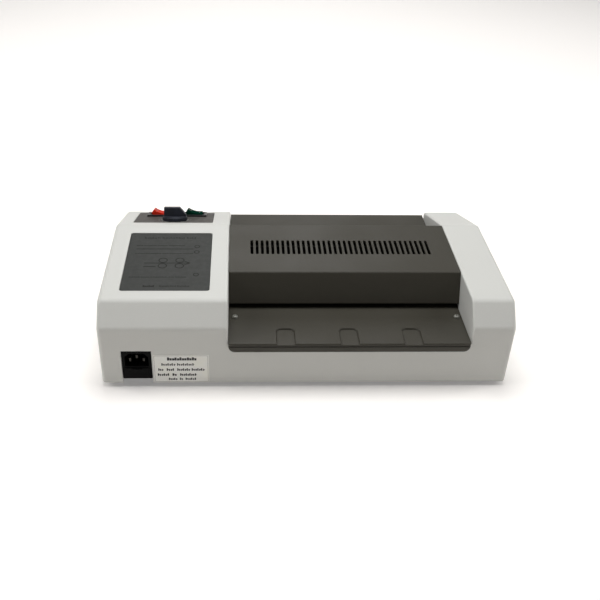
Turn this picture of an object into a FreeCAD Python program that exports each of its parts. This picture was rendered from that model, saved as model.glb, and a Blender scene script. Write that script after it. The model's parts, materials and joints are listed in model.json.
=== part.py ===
import FreeCAD, Part
import math
import os

# Four-roller pouch laminator for 230 mm pouches, in millimetres.
# X runs across the machine, the control tower is on the +X side.
# Y runs along the pouch's travel: it is fed in at -Y and leaves at +Y.
# Z is up, from the surface that the rubber feet stand on.

# ---------------------------------------------------------------- housing
HOUSING_X0 = -212.0
HOUSING_X1 = 210.0
HOUSING_BOTTOM = 6.0
HOUSING_TOP = 96.0
HALF_DEPTH = 132.0
REAR_WALL_TOP = 73.8
REAR_CHAMFER_Y = 112.0
CREASE_Y = -41.3
FRONT_WALL_TOP = 64.0
WALL = 2.5
OUTLINE_ROUND = 2.5
REAR_ROUND = 8.0
END_ROUND = 4.5
WELL_EDGE_ROUND = 1.8
WELL_X0 = -167.7
WELL_X1 = 79.3
WELL_GAP = 0.3
NOTCH_Y0 = -37.0
NOTCH_Y1 = 57.0
NOTCH_TOP = 91.2
FRAME_NOTCH_Y = (-52.0, 72.0)
FRAME_NOTCH_TOP = 40.0
INNER_WALL_BOTTOM = 11.0
SLOPE_DEG = math.degrees(math.atan2(HOUSING_TOP - FRONT_WALL_TOP, CREASE_Y + HALF_DEPTH))

# ---------------------------------------------------------------- base
BASE_Z = 9.0
BASE_THICK = 1.5
BASE_TOP = BASE_Z + BASE_THICK
FOOT_X = 192.0
FOOT_Y = 90.0
FOOT_RADIUS = 9.0
CORNER_BOSS_X = 203.5
BOSS_Y = 125.5
MID_BOSS_X = -44.0
BOSS_RADIUS = 4.5
BOSS_TOP = 30.0

# ---------------------------------------------------------------- trays and cover
EXIT_TRAY_Z = 58.0
FEED_TRAY_Z = 56.5
TRAY_THICK = 2.5
EXIT_LIP_OUT = 135.0
FEED_LIP_OUT = 139.8
LIP_THICK = 3.0
LIP_BOTTOM = 46.8
LIP_CORNER = 6.5
EXIT_TRAY_IN = 58.0
FEED_TRAY_IN = -38.0
RECESS_SPACING = 65.0
RECESS_WIDTH = 18.6
RECESS_LENGTH = 26.2
RECESS_DEPTH = 1.6
RECESS_CORNER = 5.5
RECESS_BEVEL = 0.5
LIP_GROOVE_Z = (53.6, 56.2)
LIP_GROOVE_DEPTH = 0.6
TRAY_SCREW_Y = 89.0
TRAY_SCREW_X = (72.5, -162.0)
COVER_REAR_TOP_Y = 60.0
COVER_REAR_FOOT_Y = 72.5
COVER_FRONT_FOOT_Y = -54.0
COVER_FOOT_Z = 63.5
COVER_ROUND = 2.0
VENT_COUNT = 35
VENT_FIRST_X = -141.2
VENT_LAST_X = 54.2
VENT_WIDTH = 3.1
VENT_Y0 = -5.8
VENT_Y1 = 23.5
HOOK_Y = 12.0
HOOK_HALF = 8.0

# ---------------------------------------------------------------- plates, panel, label
PLATE_X = (98.2, 190.0)
PLATE_Y = (-21.7, 95.8)
PANEL_X = (99.0, 192.0)
PANEL_DOWN = (12.2, 86.5)
PLATE_RECESS = 1.2
PLATE_INSET = 0.3
PLATE_CORNER = 3.0
LABEL_X = (99.2, 155.8)
LABEL_Z = (6.2, 42.0)
LABEL_THICK = 0.3

# ---------------------------------------------------------------- controls
POWER_X = 165.2
MODE_X = 123.8
ROCKER_DOWN = 70.0
KNOB_X = 144.5
KNOB_DOWN = 31.6
BEZEL = (30.5, 25.0, 2.0)
SWITCH_BODY = (27.5, 22.0)
SWITCH_DEPTH = 20.0
TERMINAL_OFFSETS = (-8.0, 0.0, 8.0)
ROCKER_WINDOW = (24.0, 20.4)
ROCKER_WIDTH = 20.0
ROCKER_TILT = 14.0
ROCKER_PIVOT_Z = 0.5
KNOB_RADIUS = 14.7
KNOB_TOP = 15.4
SHAFT_RADIUS = 3.0
RUNNING_GAP = 0.05

# ---------------------------------------------------------------- mains inlet
INLET_X = 172.65
INLET_HALF = 15.15
INLET_Z = (10.5, 46.5)
INLET_FACE = 131.0
INLET_BACK = 98.0
SOCKET_MID_Z = 34.8
SOCKET_HALF = 12.1
SOCKET_HEIGHT = 16.0
SOCKET_DEPTH = 17.0
DRAWER_Z = (14.9, 23.9)

# ---------------------------------------------------------------- rollers and drive
NIP_Z = 60.5
ROLLER_SPACING = 28.0
LOWER_Z = NIP_Z - ROLLER_SPACING / 2
UPPER_Z = NIP_Z + ROLLER_SPACING / 2
HEAT_Y = -17.4
PULL_Y = 41.4
SLEEVE_RADIUS = 13.85
SLEEVE_X = (-164.0, 76.0)
CORE_RADIUS = 12.0
JOURNAL_RADIUS = 8.0
JOURNAL_X = (-178.0, 97.5)
DRIVE_FRAME_X = (84.0, 86.0)
IDLE_FRAME_X = (-174.0, -172.0)
FRAME_Y = (-50.0, 70.0)
FRAME_TOP = 84.0
FRAME_TAB_TOP = 87.2
FOOT_FLANGE = 12.0
FLANGE_TOP = BASE_TOP + 2.0
BUSH_RADIUS = 10.0
BUSH_FLANGE_RADIUS = 12.0
GEAR_PLATE_X = (98.0, 99.5)
GEAR_X = (88.0, 96.0)
MODULE = 1.4
ROLLER_TEETH = 20
IDLER_TEETH = 22
PINION_TEETH = 15
BACKLASH = 0.16
PRESSURE_ANGLE = math.radians(20.0)
IDLER_Y = HEAT_Y + MODULE * (ROLLER_TEETH + IDLER_TEETH) / 2
PINION_Y = PULL_Y + MODULE * (ROLLER_TEETH + PINION_TEETH) / 2
TIE_BARS = ((-42.0, 24.0), (64.0, 24.0))
HEATER_RADIUS = 4.0
HEATER_X = (-188.0, 106.0)
MOTOR_RADIUS = 25.0
MOTOR_X = (99.5, 121.5)
BOARD_X = (130.0, 196.0)
BOARD_Y = (-40.0, 66.0)
BOARD_Z = 18.0
BOARD_THICK = 1.6
CONNECTOR_HEIGHT = 8.0
WIRE_RADIUS = 1.2
WIRE_BEND = 4.0

# ---------------------------------------------------------------- fasteners
SCREW_RADIUS = 1.5
SCREW_HEAD_RADIUS = 2.8
SCREW_HEAD_HEIGHT = 1.9
SCREW_HOLE_RADIUS = 1.55
DOME_RADIUS = 3.1
DOME_HEIGHT = 2.7


# ================================================================ helpers
def vec(x, y, z):
    return FreeCAD.Vector(x, y, z)


def box(x0, x1, y0, y1, z0, z1):
    return Part.makeBox(x1 - x0, y1 - y0, z1 - z0, vec(x0, y0, z0))


def rod_x(x0, x1, y, z, radius):
    return Part.makeCylinder(radius, x1 - x0, vec(x0, y, z), vec(1, 0, 0))


def rod_y(y0, y1, x, z, radius):
    return Part.makeCylinder(radius, y1 - y0, vec(x, y0, z), vec(0, 1, 0))


def rod_z(z0, z1, x, y, radius):
    return Part.makeCylinder(radius, z1 - z0, vec(x, y, z0), vec(0, 0, 1))


def tube_x(x0, x1, y, z, outer, inner):
    return rod_x(x0, x1, y, z, outer).cut(rod_x(x0, x1, y, z, inner))


def polygon_x(points, x0, x1):
    """Prism along X over an outline of (y, z) points."""
    corners = [vec(x0, y, z) for y, z in points]
    face = Part.Face(Part.makePolygon(corners + corners[:1]))
    return face.extrude(vec(x1 - x0, 0, 0))


def join(first, *others):
    return first.multiFuse(list(others)).removeSplitter() if others else first


def rounded_points(points, radii):
    """Wire through (y, z) points in the plane X = 0, with a tangent arc at each corner."""
    count = len(points)
    edges = []
    last_end = None
    first_start = None
    for index, radius in enumerate(radii):
        corner = vec(0, *points[index])
        before = (vec(0, *points[index - 1]) - corner).normalize()
        after = (vec(0, *points[(index + 1) % count]) - corner).normalize()
        half = before.getAngle(after) / 2
        reach = radius / math.tan(half)
        start = corner + before * reach
        end = corner + after * reach
        inward = (before + after).normalize()
        middle = corner + inward * (radius / math.sin(half) - radius)
        if last_end is None:
            first_start = start
        else:
            edges.append(Part.makeLine(last_end, start))
        edges.append(Part.Arc(start, middle, end).toShape())
        last_end = end
    edges.append(Part.makeLine(last_end, first_start))
    return Part.Wire(edges)


def rounded_prism_x(points, radii, x0, x1):
    wire = rounded_points(points, radii)
    wire.translate(vec(x0, 0, 0))
    return Part.Face(wire).extrude(vec(x1 - x0, 0, 0))


def inset(points, amount):
    """Outline moved inward by amount: the points run clockwise or anticlockwise, convex."""
    count = len(points)
    middle_y = sum(p[0] for p in points) / count
    middle_z = sum(p[1] for p in points) / count
    lines = []
    for index in range(count):
        y0, z0 = points[index]
        y1, z1 = points[(index + 1) % count]
        length = math.hypot(y1 - y0, z1 - z0)
        ny, nz = (z0 - z1) / length, (y1 - y0) / length
        if ny * (middle_y - y0) + nz * (middle_z - z0) < 0:
            ny, nz = -ny, -nz
        lines.append((ny, nz, ny * y0 + nz * z0 + amount))
    moved = []
    for index in range(count):
        a0, b0, c0 = lines[index - 1]
        a1, b1, c1 = lines[index]
        det = a0 * b1 - a1 * b0
        moved.append(((c0 * b1 - c1 * b0) / det, (a0 * c1 - a1 * c0) / det))
    return moved


def rounded_box(x0, x1, y0, y1, z0, z1, corner):
    """Box whose four upright edges are rounded."""
    block = box(x0, x1, y0, y1, z0, z1)
    upright = [e for e in block.Edges if abs(e.tangentAt(e.FirstParameter).z) > 0.99]
    return block.makeFillet(corner, upright)


def on_slope(shape):
    """Move a shape from the slope's own frame: y up the slope, z out of it, zero at the crease."""
    placed = shape.copy()
    placed.rotate(vec(0, 0, 0), vec(1, 0, 0), SLOPE_DEG)
    placed.translate(vec(0, CREASE_Y, HOUSING_TOP))
    return placed


def edges_at(shape, test):
    return [e for e in shape.Edges if test(e.BoundBox)]


def pan_screw(length):
    """Pan-head screw along -Z with its head seat at z = 0."""
    shank = rod_z(-length, 0, 0, 0, SCREW_RADIUS)
    head = rod_z(0, SCREW_HEAD_HEIGHT, 0, 0, SCREW_HEAD_RADIUS)
    head = head.makeFillet(1.2, edges_at(head, lambda b: b.ZMin > SCREW_HEAD_HEIGHT - 0.01))
    screw = join(shank, head)
    for dx, dy in ((1.6, 0.35), (0.35, 1.6)):
        screw = screw.cut(box(-dx, dx, -dy, dy, SCREW_HEAD_HEIGHT - 1.0, SCREW_HEAD_HEIGHT))
    return screw


def dome_screw(length):
    """Tray screw along -Z with a high domed head seated at z = 0."""
    shank = rod_z(-length, 0, 0, 0, SCREW_RADIUS)
    head = rod_z(0, DOME_HEIGHT, 0, 0, DOME_RADIUS)
    head = head.makeFillet(DOME_HEIGHT - 0.6, edges_at(head, lambda b: b.ZMin > DOME_HEIGHT - 0.01))
    screw = join(shank, head)
    for dx, dy in ((1.6, 0.35), (0.35, 1.6)):
        screw = screw.cut(box(-dx, dx, -dy, dy, DOME_HEIGHT - 1.3, DOME_HEIGHT))
    return screw


def placed_screw(length, position, direction):
    """Pan-head screw with its head seat at position and its shank along direction."""
    screw = pan_screw(length)
    turn = FreeCAD.Rotation(vec(0, 0, -1), vec(*direction))
    screw.Placement = FreeCAD.Placement(vec(*position), turn)
    return screw


def hexagon_z(z0, z1, x, y, across_flats, hole):
    radius = across_flats / math.sqrt(3)
    angles = [math.radians(60 * k) for k in range(6)]
    corners = [vec(x + radius * math.cos(a), y + radius * math.sin(a), z0) for a in angles]
    block = Part.Face(Part.makePolygon(corners + corners[:1])).extrude(vec(0, 0, z1 - z0))
    return block.cut(rod_z(z0, z1, x, y, hole))


# ================================================================ gears
def involute_angle(radius, base):
    ratio = math.sqrt((radius / base) ** 2 - 1)
    return ratio - math.atan(ratio)


def gear(teeth, y, z, phase, bore):
    """Spur gear along X between the planes of GEAR_X, a tooth centred at phase radians."""
    pitch = MODULE * teeth / 2
    base = pitch * math.cos(PRESSURE_ANGLE)
    tip = pitch + MODULE
    root = pitch - 1.25 * MODULE
    start = max(root, base)
    half_pitch = math.pi / (2 * teeth) - BACKLASH / (2 * pitch) / 2
    half_base = half_pitch + involute_angle(pitch, base)
    steps = [start + (tip - start) * k / 5 for k in range(6)]

    def point(radius, angle):
        return vec(GEAR_X[0], y + radius * math.cos(angle), z + radius * math.sin(angle))

    edges = []
    step = 2 * math.pi / teeth
    for index in range(teeth):
        middle = phase + index * step
        rising = [point(r, middle - half_base + involute_angle(r, base)) for r in steps]
        falling = [point(r, middle + half_base - involute_angle(r, base)) for r in reversed(steps)]
        foot_in = point(root, middle - half_base)
        foot_out = point(root, middle + half_base)
        next_foot = point(root, middle + step - half_base)
        if start > root:
            edges.append(Part.makeLine(foot_in, rising[0]))
        flank = Part.BSplineCurve()
        flank.interpolate(rising)
        edges.append(flank.toShape())
        edges.append(Part.Arc(rising[-1], point(tip, middle), falling[0]).toShape())
        flank = Part.BSplineCurve()
        flank.interpolate(falling)
        edges.append(flank.toShape())
        if start > root:
            edges.append(Part.makeLine(falling[-1], foot_out))
        edges.append(Part.Arc(foot_out, point(root, middle + step / 2), next_foot).toShape())
    blank = Part.Face(Part.Wire(edges)).extrude(vec(GEAR_X[1] - GEAR_X[0], 0, 0))
    return blank.cut(rod_x(GEAR_X[0], GEAR_X[1], y, z, bore))


# ================================================================ casing
HOUSING_OUTLINE = [
    (HALF_DEPTH, HOUSING_BOTTOM),
    (HALF_DEPTH, REAR_WALL_TOP),
    (REAR_CHAMFER_Y, HOUSING_TOP),
    (CREASE_Y, HOUSING_TOP),
    (-HALF_DEPTH, FRONT_WALL_TOP),
    (-HALF_DEPTH, HOUSING_BOTTOM),
]


def tower(x0, x1, outer_end):
    """One end tower of the housing as a solid block with soft edges."""
    sunk = [(y, z if z > HOUSING_BOTTOM else z - 10) for y, z in HOUSING_OUTLINE]
    radii = [REAR_ROUND if y > 0 and z > HOUSING_BOTTOM else OUTLINE_ROUND for y, z in sunk]
    block = rounded_prism_x(sunk, radii, x0, x1)
    for end, radius in ((outer_end, END_ROUND), (x0 + x1 - outer_end, WELL_EDGE_ROUND)):
        rim = edges_at(block, lambda b: abs(b.XMin - end) + abs(b.XMax - end) < 0.01)
        block = block.makeFillet(radius, rim)
    return block.cut(box(x0 - 1, x1 + 1, -HALF_DEPTH - 1, HALF_DEPTH + 1, -20, HOUSING_BOTTOM))


def tower_cavity(x0, x1):
    outline = inset(HOUSING_OUTLINE, WALL)
    low = min(z for _, z in outline)
    opened = [(y, z if z > low + 1 else 0.0) for y, z in outline]
    return polygon_x(opened, x0, x1)


def housing_boss(x, y):
    return rod_z(BASE_TOP, BOSS_TOP, x, y, BOSS_RADIUS)


def housing_screw_places():
    corners = [(sx * CORNER_BOSS_X, sy * BOSS_Y) for sx in (-1, 1) for sy in (-1, 1)]
    return corners + [(MID_BOSS_X, -BOSS_Y), (MID_BOSS_X, BOSS_Y)]


def tray_boss(x, y, top):
    """Boss for one tray screw, tied to the nearer tower wall by a web."""
    wall_x = WELL_X1 + 1 if x > 0 else WELL_X0 - 1
    post = rod_z(top - 22, top, x, y, 4.0)
    web = box(min(x, wall_x), max(x, wall_x), y - 1.25, y + 1.25, top - 22, top)
    return join(post, web)


def outer_housing():
    wide = tower(WELL_X1, HOUSING_X1, HOUSING_X1).cut(tower_cavity(WELL_X1 + WALL, HOUSING_X1 - WALL))
    narrow = tower(HOUSING_X0, WELL_X0, HOUSING_X0).cut(tower_cavity(HOUSING_X0 + WALL, WELL_X0 - WALL))
    inside = HALF_DEPTH - WALL
    x0, x1 = WELL_X0 - 2, WELL_X1 + 2
    rear = box(x0, x1, inside, HALF_DEPTH, HOUSING_BOTTOM, EXIT_TRAY_Z - TRAY_THICK)
    front = box(x0, x1, -HALF_DEPTH, -inside, HOUSING_BOTTOM, FEED_TRAY_Z - TRAY_THICK)
    shell = join(wide, narrow, rear, front)
    for x0, x1 in ((WELL_X0 - WALL, WELL_X0), (WELL_X1, WELL_X1 + WALL)):
        shell = shell.cut(box(x0 - 0.01, x1 + 0.01, NOTCH_Y0, NOTCH_Y1, 0, NOTCH_TOP))
        shell = shell.cut(box(x0 - 0.01, x1 + 0.01, *FRAME_NOTCH_Y, 0, FRAME_NOTCH_TOP))
        shell = shell.cut(box(x0 - 0.01, x1 + 0.01, -inside, inside, 0, INNER_WALL_BOTTOM))
    additions = [housing_boss(x, y) for x, y in housing_screw_places()]
    for x in TRAY_SCREW_X:
        additions.append(tray_boss(x, TRAY_SCREW_Y, EXIT_TRAY_Z - TRAY_THICK))
        additions.append(tray_boss(x, -TRAY_SCREW_Y, FEED_TRAY_Z - TRAY_THICK))
    ledge_bottom = HOUSING_TOP - WALL - 1.9
    ledge_top = HOUSING_TOP - WALL
    for wall_x, reach in ((WELL_X1 + 0.5, -2.0), (WELL_X0 - 0.5, 2.0)):
        for y0, y1 in ((-32, 0), (24, 52)):
            x0, x1 = sorted((wall_x, wall_x + reach))
            additions.append(box(x0, x1, y0, y1, ledge_bottom, ledge_top))
    shell = join(shell, *additions)
    for x, y in housing_screw_places():
        shell = shell.cut(rod_z(BASE_TOP - 1, BOSS_TOP - 4, x, y, SCREW_HOLE_RADIUS))
    for x in TRAY_SCREW_X:
        for y, top in ((TRAY_SCREW_Y, EXIT_TRAY_Z), (-TRAY_SCREW_Y, FEED_TRAY_Z)):
            shell = shell.cut(rod_z(top - 18, top, x, y, SCREW_HOLE_RADIUS))
    plate_seat = rounded_box(*PLATE_X, *PLATE_Y, HOUSING_TOP - PLATE_RECESS, HOUSING_TOP + 5, PLATE_CORNER)
    panel_seat = rounded_box(*PANEL_X, -PANEL_DOWN[1], -PANEL_DOWN[0], -PLATE_RECESS, 5, PLATE_CORNER)
    shell = shell.cut(plate_seat).cut(on_slope(panel_seat))
    shell = shell.cut(on_slope(panel_openings(0.1)))
    gap = 0.3
    notch_half = INLET_HALF + gap
    shell = shell.cut(box(INLET_X - notch_half, INLET_X + notch_half, HALF_DEPTH - 4, HALF_DEPTH + 1,
                          0, INLET_Z[1] + gap))
    return shell.removeSplitter()


def top_cover():
    x0, x1 = WELL_X0 + WELL_GAP, WELL_X1 - WELL_GAP
    rear_lean = (COVER_REAR_FOOT_Y - COVER_REAR_TOP_Y) / (HOUSING_TOP - COVER_FOOT_Z)
    front_lean = (CREASE_Y - COVER_FRONT_FOOT_Y) / (HOUSING_TOP - COVER_FOOT_Z)
    sunk = [
        (COVER_REAR_FOOT_Y + 10 * rear_lean, COVER_FOOT_Z - 10),
        (COVER_REAR_TOP_Y, HOUSING_TOP),
        (CREASE_Y, HOUSING_TOP),
        (COVER_FRONT_FOOT_Y - 10 * front_lean, COVER_FOOT_Z - 10),
    ]
    block = rounded_prism_x(sunk, [COVER_ROUND] * 4, x0, x1)
    block = block.cut(polygon_x(inset(sunk, WALL), x0 - 1, x1 + 1))
    block = block.cut(box(x0 - 1, x1 + 1, -100, 100, 0, COVER_FOOT_Z))
    foot_edges = edges_at(block, lambda b: b.ZMax < COVER_FOOT_Z + 0.01 and b.XLength > 200)
    block = block.makeFillet(0.7, foot_edges)
    pitch = (VENT_LAST_X - VENT_FIRST_X) / (VENT_COUNT - 1)
    vents = []
    for index in range(VENT_COUNT):
        x = VENT_FIRST_X + index * pitch
        vents.append(rounded_box(x - VENT_WIDTH / 2, x + VENT_WIDTH / 2, VENT_Y0, VENT_Y1,
                                 HOUSING_TOP - WALL - 1, HOUSING_TOP + 1, VENT_WIDTH / 2 - 0.2))
    block = block.cut(Part.makeCompound(vents))
    hook_top = HOUSING_TOP - WALL + 0.2
    tip_top = NOTCH_TOP - 0.1
    y0, y1 = HOOK_Y - HOOK_HALF, HOOK_Y + HOOK_HALF
    for end, side in ((x1, 1), (x0, -1)):
        leg_x = sorted((end - side * 0.2, end - side * 2.0))
        tip_x = sorted((end - side * 0.2, end + side * 1.8))
        leg = box(*leg_x, y0, y1, tip_top - 3, hook_top)
        tip = box(*tip_x, y0, y1, tip_top - 2.2, tip_top)
        block = join(block, leg, tip)
    return block


def tray(surface, inner_y, lip_out, side):
    """Tray with a turned-down lip. side is +1 at the exit and -1 at the feed end."""
    x0, x1 = WELL_X0 + WELL_GAP, WELL_X1 - WELL_GAP
    profile = [
        (side * abs(inner_y), surface - TRAY_THICK),
        (side * abs(inner_y), surface - 1.0),
        (side * (abs(inner_y) + 2.5), surface),
        (side * lip_out, surface),
        (side * lip_out, LIP_BOTTOM),
        (side * (lip_out - LIP_THICK), LIP_BOTTOM),
        (side * (lip_out - LIP_THICK), surface - TRAY_THICK),
    ]
    body = polygon_x(profile, x0, x1)
    out = side * lip_out
    lip_ends = edges_at(body, lambda b: b.ZMax < LIP_BOTTOM + 0.01 and b.YLength > 1 and b.XLength < 0.01)
    body = body.makeFillet(LIP_CORNER, lip_ends)
    nose = edges_at(body, lambda b: abs(b.YMin - out) < 0.01 and abs(b.YMax - out) < 0.01)
    body = body.makeFillet(1.6, nose)
    for x in TRAY_SCREW_X:
        body = body.cut(rod_z(surface - 4, surface + 1, x, side * TRAY_SCREW_Y, SCREW_RADIUS + 0.2))
    return body


def exit_tray():
    body = tray(EXIT_TRAY_Z, EXIT_TRAY_IN, EXIT_LIP_OUT, 1)
    body = body.cut(box(WELL_X0, WELL_X1, EXIT_LIP_OUT - LIP_GROOVE_DEPTH, EXIT_LIP_OUT + 1, *LIP_GROOVE_Z))
    middle = (WELL_X0 + WELL_X1) / 2
    half = RECESS_WIDTH / 2
    for index in (-1, 0, 1):
        x = middle + index * RECESS_SPACING
        body = body.cut(finger_recess(x, half, RECESS_LENGTH, RECESS_DEPTH))
        body = body.cut(finger_recess(x, half + RECESS_BEVEL, RECESS_LENGTH + RECESS_BEVEL, RECESS_BEVEL))
    return body


def finger_recess(x, half, length, depth):
    """Cutter for a recess with rounded corners, open at the lip and bevelled along its floor."""
    floor = EXIT_TRAY_Z - depth
    cutter = rounded_box(x - half, x + half, EXIT_LIP_OUT - length, EXIT_LIP_OUT + 12,
                         floor, EXIT_TRAY_Z + 1, RECESS_CORNER)
    low_edges = edges_at(cutter, lambda b: b.ZMax < floor + 0.01)
    return cutter.makeChamfer(RECESS_BEVEL - 0.05, low_edges)


def feed_tray():
    return tray(FEED_TRAY_Z, FEED_TRAY_IN, FEED_LIP_OUT, -1)


def tray_screws():
    screws = []
    for x in TRAY_SCREW_X:
        for y, z in ((TRAY_SCREW_Y, EXIT_TRAY_Z), (-TRAY_SCREW_Y, FEED_TRAY_Z)):
            screw = dome_screw(14)
            screw.translate(vec(x, y, z))
            screws.append(screw)
    return Part.makeCompound(screws)


def instruction_plate():
    gap = 0.25
    top = HOUSING_TOP - PLATE_INSET
    plate = rounded_box(PLATE_X[0] + gap, PLATE_X[1] - gap, PLATE_Y[0] + gap, PLATE_Y[1] - gap,
                        HOUSING_TOP - PLATE_RECESS, top, PLATE_CORNER - gap)
    return plate.makeFillet(0.25, edges_at(plate, lambda b: b.ZMin > top - 0.01))


def panel_openings(gap):
    """Openings for both switches and the control's bush, in the slope's frame."""
    half_x, half_y = SWITCH_BODY[0] / 2 + gap, SWITCH_BODY[1] / 2 + gap
    cuts = [box(x - half_x, x + half_x, -ROCKER_DOWN - half_y, -ROCKER_DOWN + half_y, -6, 3)
            for x in (POWER_X, MODE_X)]
    cuts.append(rod_z(-6, 3, KNOB_X, -KNOB_DOWN, 4.5 + gap))
    return Part.makeCompound(cuts)


def control_panel():
    gap = 0.25
    plate = rounded_box(PANEL_X[0] + gap, PANEL_X[1] - gap, -PANEL_DOWN[1] + gap, -PANEL_DOWN[0] - gap,
                        -PLATE_RECESS, -PLATE_INSET, PLATE_CORNER - gap)
    return on_slope(plate.cut(panel_openings(0.1)))


def rating_label():
    return box(*LABEL_X, HALF_DEPTH, HALF_DEPTH + LABEL_THICK, *LABEL_Z)


# ================================================================ controls
def switch_body(x):
    half_x, half_y = BEZEL[0] / 2, BEZEL[1] / 2
    top = -PLATE_INSET + BEZEL[2]
    bezel = rounded_box(-half_x, half_x, -half_y, half_y, -PLATE_INSET, top, 1.2)
    bezel = bezel.makeFillet(0.6, edges_at(bezel, lambda b: b.ZMin > top - 0.01))
    core = box(-SWITCH_BODY[0] / 2, SWITCH_BODY[0] / 2, -SWITCH_BODY[1] / 2, SWITCH_BODY[1] / 2,
               -SWITCH_DEPTH, -PLATE_INSET)
    body = join(bezel, core)
    window_x, window_y = ROCKER_WINDOW[0] / 2, ROCKER_WINDOW[1] / 2
    body = body.cut(box(-window_x, window_x, -window_y, window_y, -5.5, top + 1))
    bearing_y = ROCKER_WIDTH / 2 + 0.6
    body = body.cut(rod_y(-bearing_y, bearing_y, 0, ROCKER_PIVOT_Z, 1.0 + RUNNING_GAP))
    for dx in TERMINAL_OFFSETS:
        body = body.cut(box(dx - 0.4, dx + 0.4, -2.4, 2.4, -SWITCH_DEPTH - 1, -SWITCH_DEPTH + 6))
    body.translate(vec(x, -ROCKER_DOWN, 0))
    return on_slope(body)


def switch_terminals():
    blades = []
    for x in (POWER_X, MODE_X):
        for dx in TERMINAL_OFFSETS:
            blade = box(x + dx - 0.4, x + dx + 0.4, -ROCKER_DOWN - 2.4, -ROCKER_DOWN + 2.4,
                        -SWITCH_DEPTH - 8, -SWITCH_DEPTH + 6)
            blades.append(on_slope(blade))
    return Part.makeCompound(blades)


def rocker(x):
    """Rocker key, tilted so that its +X end stands up."""
    half = 8.8
    rise = 5.2
    top = Part.Arc(vec(-half, 0, rise), vec(0, 0, 3.5), vec(half, 0, rise)).toShape()
    corners = [(half, rise), (10.5, 1.0), (5.5, -3.6), (-5.5, -3.6), (-10.5, 1.0), (-half, rise)]
    sides = [Part.makeLine(vec(a[0], 0, a[1]), vec(b[0], 0, b[1])) for a, b in zip(corners, corners[1:])]
    face = Part.Face(Part.Wire([top] + sides))
    key = face.extrude(vec(0, ROCKER_WIDTH, 0))
    key.translate(vec(0, -ROCKER_WIDTH / 2, 0))
    key = key.makeFillet(0.6, edges_at(key, lambda b: b.ZMax > rise - 0.01))
    key = join(key, rod_y(-ROCKER_WIDTH / 2 - 0.5, ROCKER_WIDTH / 2 + 0.5, 0, 0, 1.0))
    key.rotate(vec(0, 0, 0), vec(0, 1, 0), -ROCKER_TILT)
    key.translate(vec(x, -ROCKER_DOWN, ROCKER_PIVOT_Z))
    return on_slope(key)


def temperature_pot():
    body = rod_z(-WALL - 9, -WALL, KNOB_X, -KNOB_DOWN, 12.0)
    bush = rod_z(-WALL, 2.6, KNOB_X, -KNOB_DOWN, 4.5)
    pot = join(body, bush).cut(rod_z(-WALL - 7, 3, KNOB_X, -KNOB_DOWN, SHAFT_RADIUS + RUNNING_GAP))
    return on_slope(pot)


def pot_nut():
    return on_slope(hexagon_z(-PLATE_INSET, 1.9, KNOB_X, -KNOB_DOWN, 12.0, 4.5))


def pot_shaft():
    return on_slope(rod_z(-WALL - 6.5, 12.5, KNOB_X, -KNOB_DOWN, SHAFT_RADIUS))


def temperature_knob():
    """Round skirt with a grip bar along X: the slanted end on the -X side is the pointer."""
    foot = 0.2
    skirt = rod_z(foot, 3.6, 0, 0, KNOB_RADIUS)
    skirt = join(skirt, Part.makeCone(KNOB_RADIUS, KNOB_RADIUS - 1.8, 1.6, vec(0, 0, 3.6)))
    grip_outline = [(12.8, 3.0), (12.4, KNOB_TOP), (-6.0, KNOB_TOP), (-13.2, 7.2), (-13.2, 3.0)]
    corners = [vec(x, -4.8, z) for x, z in grip_outline]
    grip = Part.Face(Part.makePolygon(corners + corners[:1])).extrude(vec(0, 9.6, 0))
    grip = grip.makeFillet(1.0, edges_at(grip, lambda b: b.ZMax > 5 and b.XLength + b.ZLength > 0.5))
    knob = join(skirt, grip)
    knob = knob.cut(rod_z(foot - 1, 3.0, 0, 0, 8.0))
    knob = knob.cut(rod_z(foot - 1, 12.5, 0, 0, SHAFT_RADIUS))
    for index in range(36):
        angle = math.radians(10 * index)
        x, y = (KNOB_RADIUS + 0.35) * math.cos(angle), (KNOB_RADIUS + 0.35) * math.sin(angle)
        knob = knob.cut(rod_z(foot - 1, 3.2, x, y, 0.7))
    knob.translate(vec(KNOB_X, -KNOB_DOWN, 0))
    return on_slope(knob)


# ================================================================ mains inlet
PIN_PLACES = ((-7.0, -2.0), (7.0, -2.0), (0.0, 2.0))


def inlet_body():
    z0, z1 = INLET_Z
    flange = rounded_prism_y(INLET_X, INLET_HALF, z0, z1, 128, INLET_FACE, 1.2)
    block = box(INLET_X - 13.5, INLET_X + 13.5, INLET_BACK, 128, z0 + 2, z1 - 1)
    body = join(flange, block)
    low, high = SOCKET_MID_Z - SOCKET_HEIGHT / 2, SOCKET_MID_Z + SOCKET_HEIGHT / 2
    corners = [(-SOCKET_HALF, low), (SOCKET_HALF, low), (SOCKET_HALF, high - 4.5), (SOCKET_HALF - 4.5, high),
               (-SOCKET_HALF + 4.5, high), (-SOCKET_HALF, high - 4.5)]
    outline = [vec(INLET_X + x, INLET_FACE - SOCKET_DEPTH, z) for x, z in corners]
    socket = Part.Face(Part.makePolygon(outline + outline[:1])).extrude(vec(0, SOCKET_DEPTH + 1, 0))
    body = body.cut(socket)
    low, high = DRAWER_Z[0] - 0.1, DRAWER_Z[1] + 0.1
    body = body.cut(box(INLET_X - 11.5, INLET_X + 11.5, 118.8, INLET_FACE + 1, low, high))
    for pin in inlet_pin_solids():
        body = body.cut(pin)
    return body


def rounded_prism_y(x, half, z0, z1, y0, y1, corner):
    block = box(x - half, x + half, y0, y1, z0, z1)
    along = edges_at(block, lambda b: b.YLength > 0.5 * (y1 - y0))
    return block.makeFillet(corner, along)


def inlet_pin_solids():
    return [box(INLET_X + dx - 1.0, INLET_X + dx + 1.0, INLET_BACK - 8, INLET_FACE - 3,
                SOCKET_MID_Z + dz - 2.0, SOCKET_MID_Z + dz + 2.0) for dx, dz in PIN_PLACES]


def inlet_pins():
    return Part.makeCompound(inlet_pin_solids())


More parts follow.
